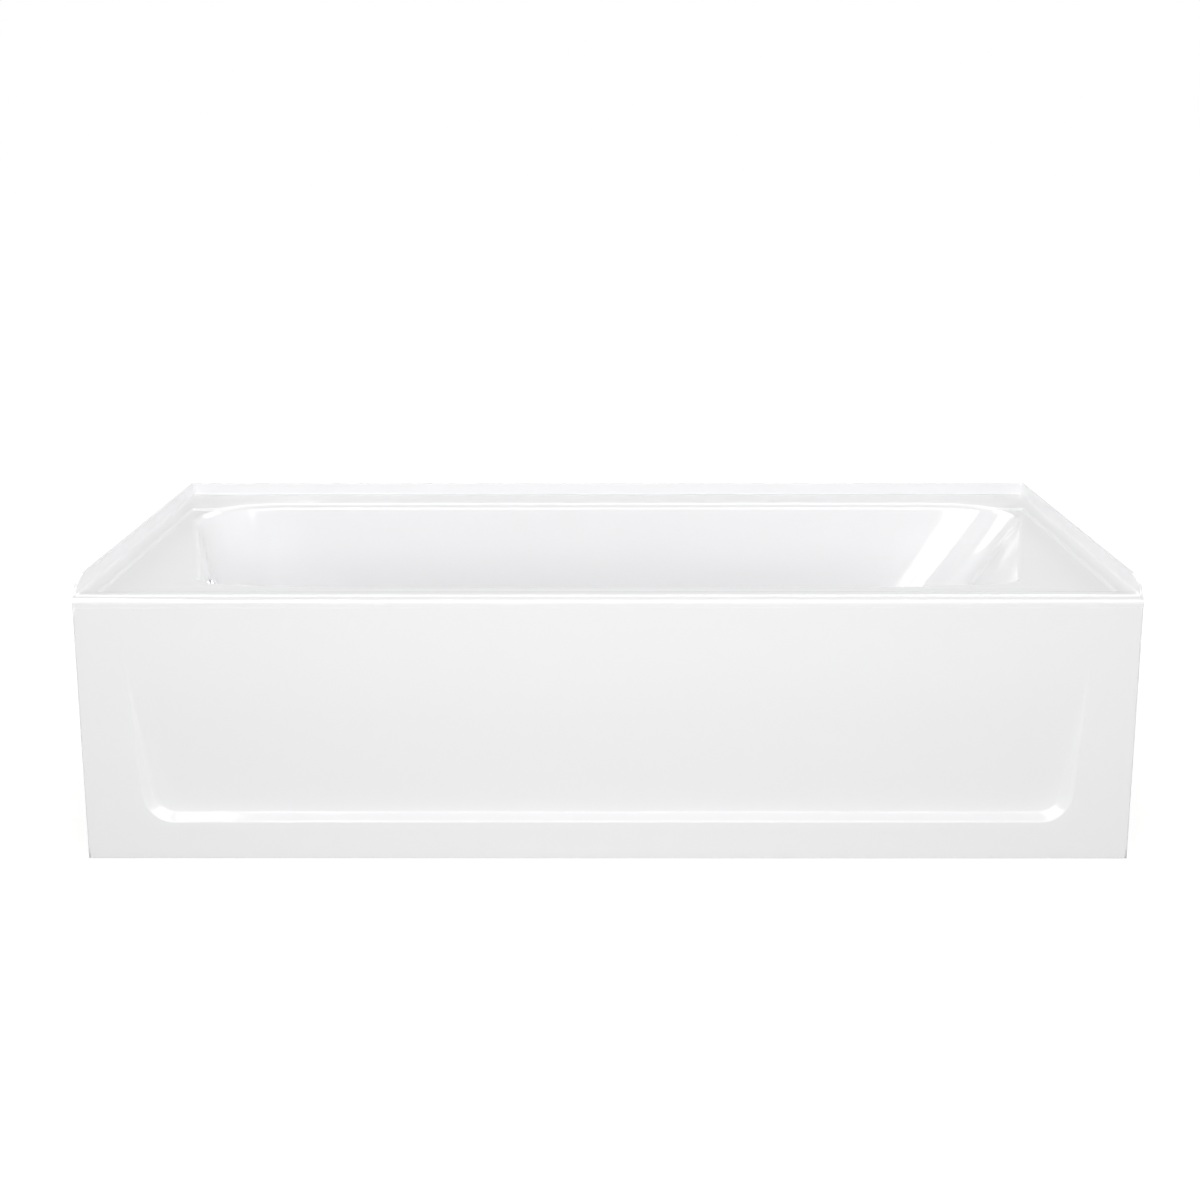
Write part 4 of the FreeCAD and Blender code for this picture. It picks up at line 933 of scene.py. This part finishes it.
METAL = {"Metallic": 1.0}
ACRYLIC = thermoformed_acrylic()
GLASS_FIBRE = chopped_strand_backing()
SPRUCE = {along: sawn_spruce(along) for along in "xyz"}
FINISHES = {
    "glass_fibre": GLASS_FIBRE,
    "particle_board": particle_board(),
    # Bright zinc on turned steel: blue-grey, half matt, with turning marks and cloudy patches.
    "zinc_plated_steel": worked_surface(
        "bright_zinc_plate", METAL, 5 * MM, ((0.3, "#A9ADB1"), (0.7, "#D5D8DA")),
        (10 * MM, 10 * MM, 0.5 * MM), (0.24, 0.42), 0.02 * MM),
    # Injection-moulded nylon: even dark grey, a fine spark-eroded grain and a soft sheen.
    "grey_nylon": worked_surface(
        "moulded_grey_nylon", {"IOR": 1.53}, 22 * MM, ((0.3, "#3B3D40"), (0.7, "#4A4C4F")),
        (0.8 * MM, 0.8 * MM, 0.8 * MM), (0.42, 0.54), 0.05 * MM),
    # Chromium over polished nickel: a cool mirror with a faint film of water marks.
    "chrome": worked_surface(
        "polished_chrome_plate", METAL, 30 * MM, ((0.3, "#DADDE0"), (0.7, "#E2E5E8")),
        (14 * MM, 14 * MM, 14 * MM), (0.04, 0.11), 0.01 * MM),
    # Moulded EPDM rubber: near black, dull, with grey bloom.
    "black_rubber": worked_surface(
        "moulded_rubber", {"IOR": 1.52}, 7 * MM, ((0.35, "#161616"), (0.8, "#3A3937")),
        (1.5 * MM, 1.5 * MM, 1.5 * MM), (0.62, 0.85), 0.08 * MM),
    # Plumber's putty pressed out by hand: putty white, an oily sheen, small lumps.
    "plumbers_putty": worked_surface(
        "plumbers_putty", {"IOR": 1.48}, 9 * MM, ((0.3, "#C4BBA4"), (0.7, "#D6CEBA")),
        (2.5 * MM, 2.5 * MM, 2.5 * MM), (0.45, 0.7), 0.3 * MM),
    # Injection-moulded ABS waste fittings: near black, satin, with the mould's fine grain.
    "black_abs": worked_surface(
        "moulded_black_abs", {"IOR": 1.54}, 25 * MM, ((0.3, "#121314"), (0.7, "#1D1E20")),
        (1.1 * MM, 1.1 * MM, 1.1 * MM), (0.28, 0.4), 0.04 * MM),
    # Drawn brass: warm yellow, fine lines from the die, and brown tarnish in patches.
    "brass": worked_surface(
        "drawn_brass", METAL, 8 * MM, ((0.25, "#9C7B3E"), (0.8, "#DFC57F"), (0.6, "#CDAE63")),
        (0.4 * MM, 0.4 * MM, 16 * MM), (0.2, 0.38), 0.02 * MM),
}
SOLID_SEAM = 0.005 * MM         # the faces of a solid from the construction are welded at this distance
SOFTENED_EDGE = math.radians(50)
EDGE_RADIUS = {"softwood": 1.2 * MM, "particle_board": 0.6 * MM, "zinc_plated_steel": 0.4 * MM,
               "grey_nylon": 0.8 * MM, "chrome": 0.5 * MM, "black_abs": 0.5 * MM, "brass": 0.3 * MM,
               "black_rubber": 0.4 * MM, "plumbers_putty": 0.3 * MM}


def grain_of(name):
    """Timber's grain runs along its longest side."""
    low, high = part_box(name)
    size = high - low
    return "xyz"[max(range(3), key=lambda k: size[k])]


def finish_node(name, slot_name):
    """Gives a piece of the construction its finish, and takes the keenness off its edges."""
    made = frame["nodes"][name]
    material = SPRUCE[grain_of(name)] if slot_name == "softwood" else FINISHES[slot_name]
    made.data.materials.clear()
    made.data.materials.append(material)
    weld = made.modifiers.new("weld", "WELD")
    weld.merge_threshold = SOLID_SEAM
    if slot_name in EDGE_RADIUS:
        bevel = made.modifiers.new("soft_edges", "BEVEL")
        bevel.width = EDGE_RADIUS[slot_name]
        bevel.segments = 2
        bevel.limit_method = "ANGLE"
        bevel.angle_limit = SOFTENED_EDGE
        bevel.use_clamp_overlap = True
        bevel.harden_normals = True


# ---- the moulded pieces, in place of their plain solids ----
def stand_for(made, node, material):
    """Puts a modelled piece in the place of a node, on the bath itself."""
    made.data.materials.clear()
    made.data.materials.append(material)
    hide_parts(node)
    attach(made, "bath")


stand_for(bath_shell(), "bath_shell", ACRYLIC)
stand_for(sprayed_backing(), "shell_backing", GLASS_FIBRE)
stand_for(apron_panel(), "apron_panel", ACRYLIC)

for part in frame["record"]["subparts"]:
    if part["material_slot"] != "white_acrylic" and part["node"] != "shell_backing":
        finish_node(part["node"], part["material_slot"])

# ---- camera: a normal lens a little above the bath, looking straight at the apron ----
CAMERA_PLACE = Vector((-0.001, -3.0337, 1.0176))
LENS = 57.07                  # millimetres, on a sensor of 36
SENSOR = 36.0
YAW = math.radians(-0.206)
PITCH = math.radians(13.443)
ROLL = math.radians(-0.062)


def stand_camera():
    """Stands the camera in its place, turned aside by yaw, down by pitch and round its axis by roll."""
    data = bpy.data.cameras.new("camera")
    data.sensor_width = SENSOR
    data.lens = LENS
    forward = Vector((math.sin(YAW) * math.cos(PITCH), math.cos(YAW) * math.cos(PITCH), -math.sin(PITCH)))
    level_right = Vector((math.cos(YAW), -math.sin(YAW), 0))
    level_up = level_right.cross(forward)
    right = math.cos(ROLL) * level_right + math.sin(ROLL) * level_up
    up = math.cos(ROLL) * level_up - math.sin(ROLL) * level_right
    turn = Matrix((right, up, -forward)).transposed().to_4x4()
    camera = bpy.data.objects.new("camera", data)
    camera.matrix_world = Matrix.Translation(CAMERA_PLACE) @ turn
    scene.collection.objects.link(camera)
    scene.camera = camera


stand_camera()
scene.view_settings.view_transform = "Standard"


# ---- studio: white floor and surroundings, and softboxes ----
FLOOR_PAPER = "#9E9E9E"       # what the floor gives back to the bath
FLOOR_GLOW = 1.08
FLOOR_SHADED = 0.2            # share of the seen floor that takes light and shadow; the rest is plain white
FLOOR_WHITE_FROM = 0.8        # metres from the middle where the floor begins to turn plain white
FLOOR_WHITE_AT = 1.5
FLOOR_RADIUS = 40.0
PURE_WHITE = (1, 1, 1, 1)
AMBIENT = 0.32
# Each lamp's name, middle, target, width, height and power. These light the bath and aren't mirrored in it.
LAMPS = (
    ("front", (0, -2.7, 0.7), (0, 0, 0.5), 2.0, 1.4, 17),
    ("front_mid", (0, -4.0, 1.4), (0, 0, 0.3), 2.4, 1.2, 46),
    ("front_high", (0, -2.4, 2.4), (0, 0.2, 0.3), 2.6, 0.6, 10),
    ("left_low", (-2.6, 0.55, 1.0), (0.5, 0, 0.3), 0.8, 0.6, 19),
    ("right_low", (2.6, 0.55, 1.0), (-0.5, 0, 0.3), 0.8, 0.6, 19),
    ("overhead", (0, 0.6, 2.6), (0, 0.1, 0.2), 2.6, 0.4, 11),
    ("behind", (0, 3.6, 1.0), (0, 0, 0.3), 3.0, 1.2, 30),
)
# These show only as their own mirror images: the white lines along the rolls, and the streaks in the
# corner of the basin.
REFLECTED = (
    ("roll_highlight", (0, -2.5, 2.4), (0, 0, 0.4), 4.4, 1.9, 98),
    ("roll_highlight_top", (0, 1.9, 2.9), (0, 0, 0.4), 4.4, 3.0, 120),
    ("corner_streak", (-1.6, -1.0, 1.9), (0.5, 0.25, 0.3), 0.95, 1.4, 30),
    ("thin_streak", (-0.85, -1.85, 1.9), (0.5, 0.25, 0.3), 0.1, 1.2, 4),
)


def seen(tree):
    """1 for what is seen, straight, in a mirror or through glass; 0 for light on its way to the bath."""
    path = add(tree, "LightPath").outputs
    larger = {"operation": "MAXIMUM"}
    mirrored = add(tree, "Math", larger, {0: path["Is Camera Ray"], 1: path["Is Glossy Ray"]})
    return add(tree, "Math", larger, {0: mirrored, 1: path["Is Transmission Ray"]})


def studio_floor():
    """A floor that keeps the bath's shadow near it and turns plain white further out."""
    bm = bmesh.new()
    bmesh.ops.create_circle(bm, cap_ends=True, segments=64, radius=FLOOR_RADIUS)
    made = piece(bm, "studio_floor")
    material, tree, place = start("white_paper_sweep")
    tree.nodes.remove(tree.nodes["Principled BSDF"])
    distance = add(tree, "VectorMath", {"operation": "LENGTH"}, {0: place})
    near = add(tree, "MapRange", {"interpolation_type": "SMOOTHSTEP", "From Min": FLOOR_WHITE_FROM,
                                  "From Max": FLOOR_WHITE_AT, "To Min": FLOOR_SHADED, "To Max": 0.0},
               {"Value": distance.outputs["Value"]})
    white = add(tree, "Emission", {"Color": PURE_WHITE, "Strength": FLOOR_GLOW})
    shaded = add(tree, "BsdfDiffuse", {"Color": PURE_WHITE})
    backdrop = add(tree, "MixShader", links={0: near, 1: white, 2: shaded})
    paper = add(tree, "BsdfDiffuse", {"Color": linear(FLOOR_PAPER)})
    both = add(tree, "MixShader", links={0: seen(tree), 1: paper, 2: backdrop})
    tree.links.new(both.outputs[0], tree.nodes["Material Output"].inputs["Surface"])
    made.data.materials.append(material)


def surroundings():
    """A white world for the eye and for mirror images, and a dim one for the light that falls on the bath."""
    world = bpy.data.worlds.new("studio")
    scene.world = world
    world.use_nodes = True
    tree = world.node_tree
    tree.nodes.remove(tree.nodes["Background"])
    dim = add(tree, "Background", {"Color": PURE_WHITE, "Strength": AMBIENT})
    white = add(tree, "Background", {"Color": PURE_WHITE, "Strength": 1.0})
    both = add(tree, "MixShader", links={0: seen(tree), 1: dim, 2: white})
    tree.links.new(both.outputs[0], tree.nodes["World Output"].inputs["Surface"])


def softbox(name, middle, target, width, height, power, reflected=False):
    """A flat lamp that either lights the bath or shows as a mirror image in it."""
    light = bpy.data.lights.new(name, "AREA")
    light.shape = "RECTANGLE"
    light.size = width
    light.size_y = height
    light.energy = power
    made = bpy.data.objects.new(name, light)
    made.visible_camera = False
    made.visible_glossy = reflected
    made.visible_diffuse = not reflected
    scene.collection.objects.link(made)
    aim = (Vector(target) - Vector(middle)).to_track_quat("-Z", "Y").to_matrix().to_4x4()
    made.matrix_world = Matrix.Translation(Vector(middle)) @ aim


studio_floor()
surroundings()
for lamp in LAMPS:
    softbox(*lamp)
for lamp in REFLECTED:
    softbox(*lamp, reflected=True)
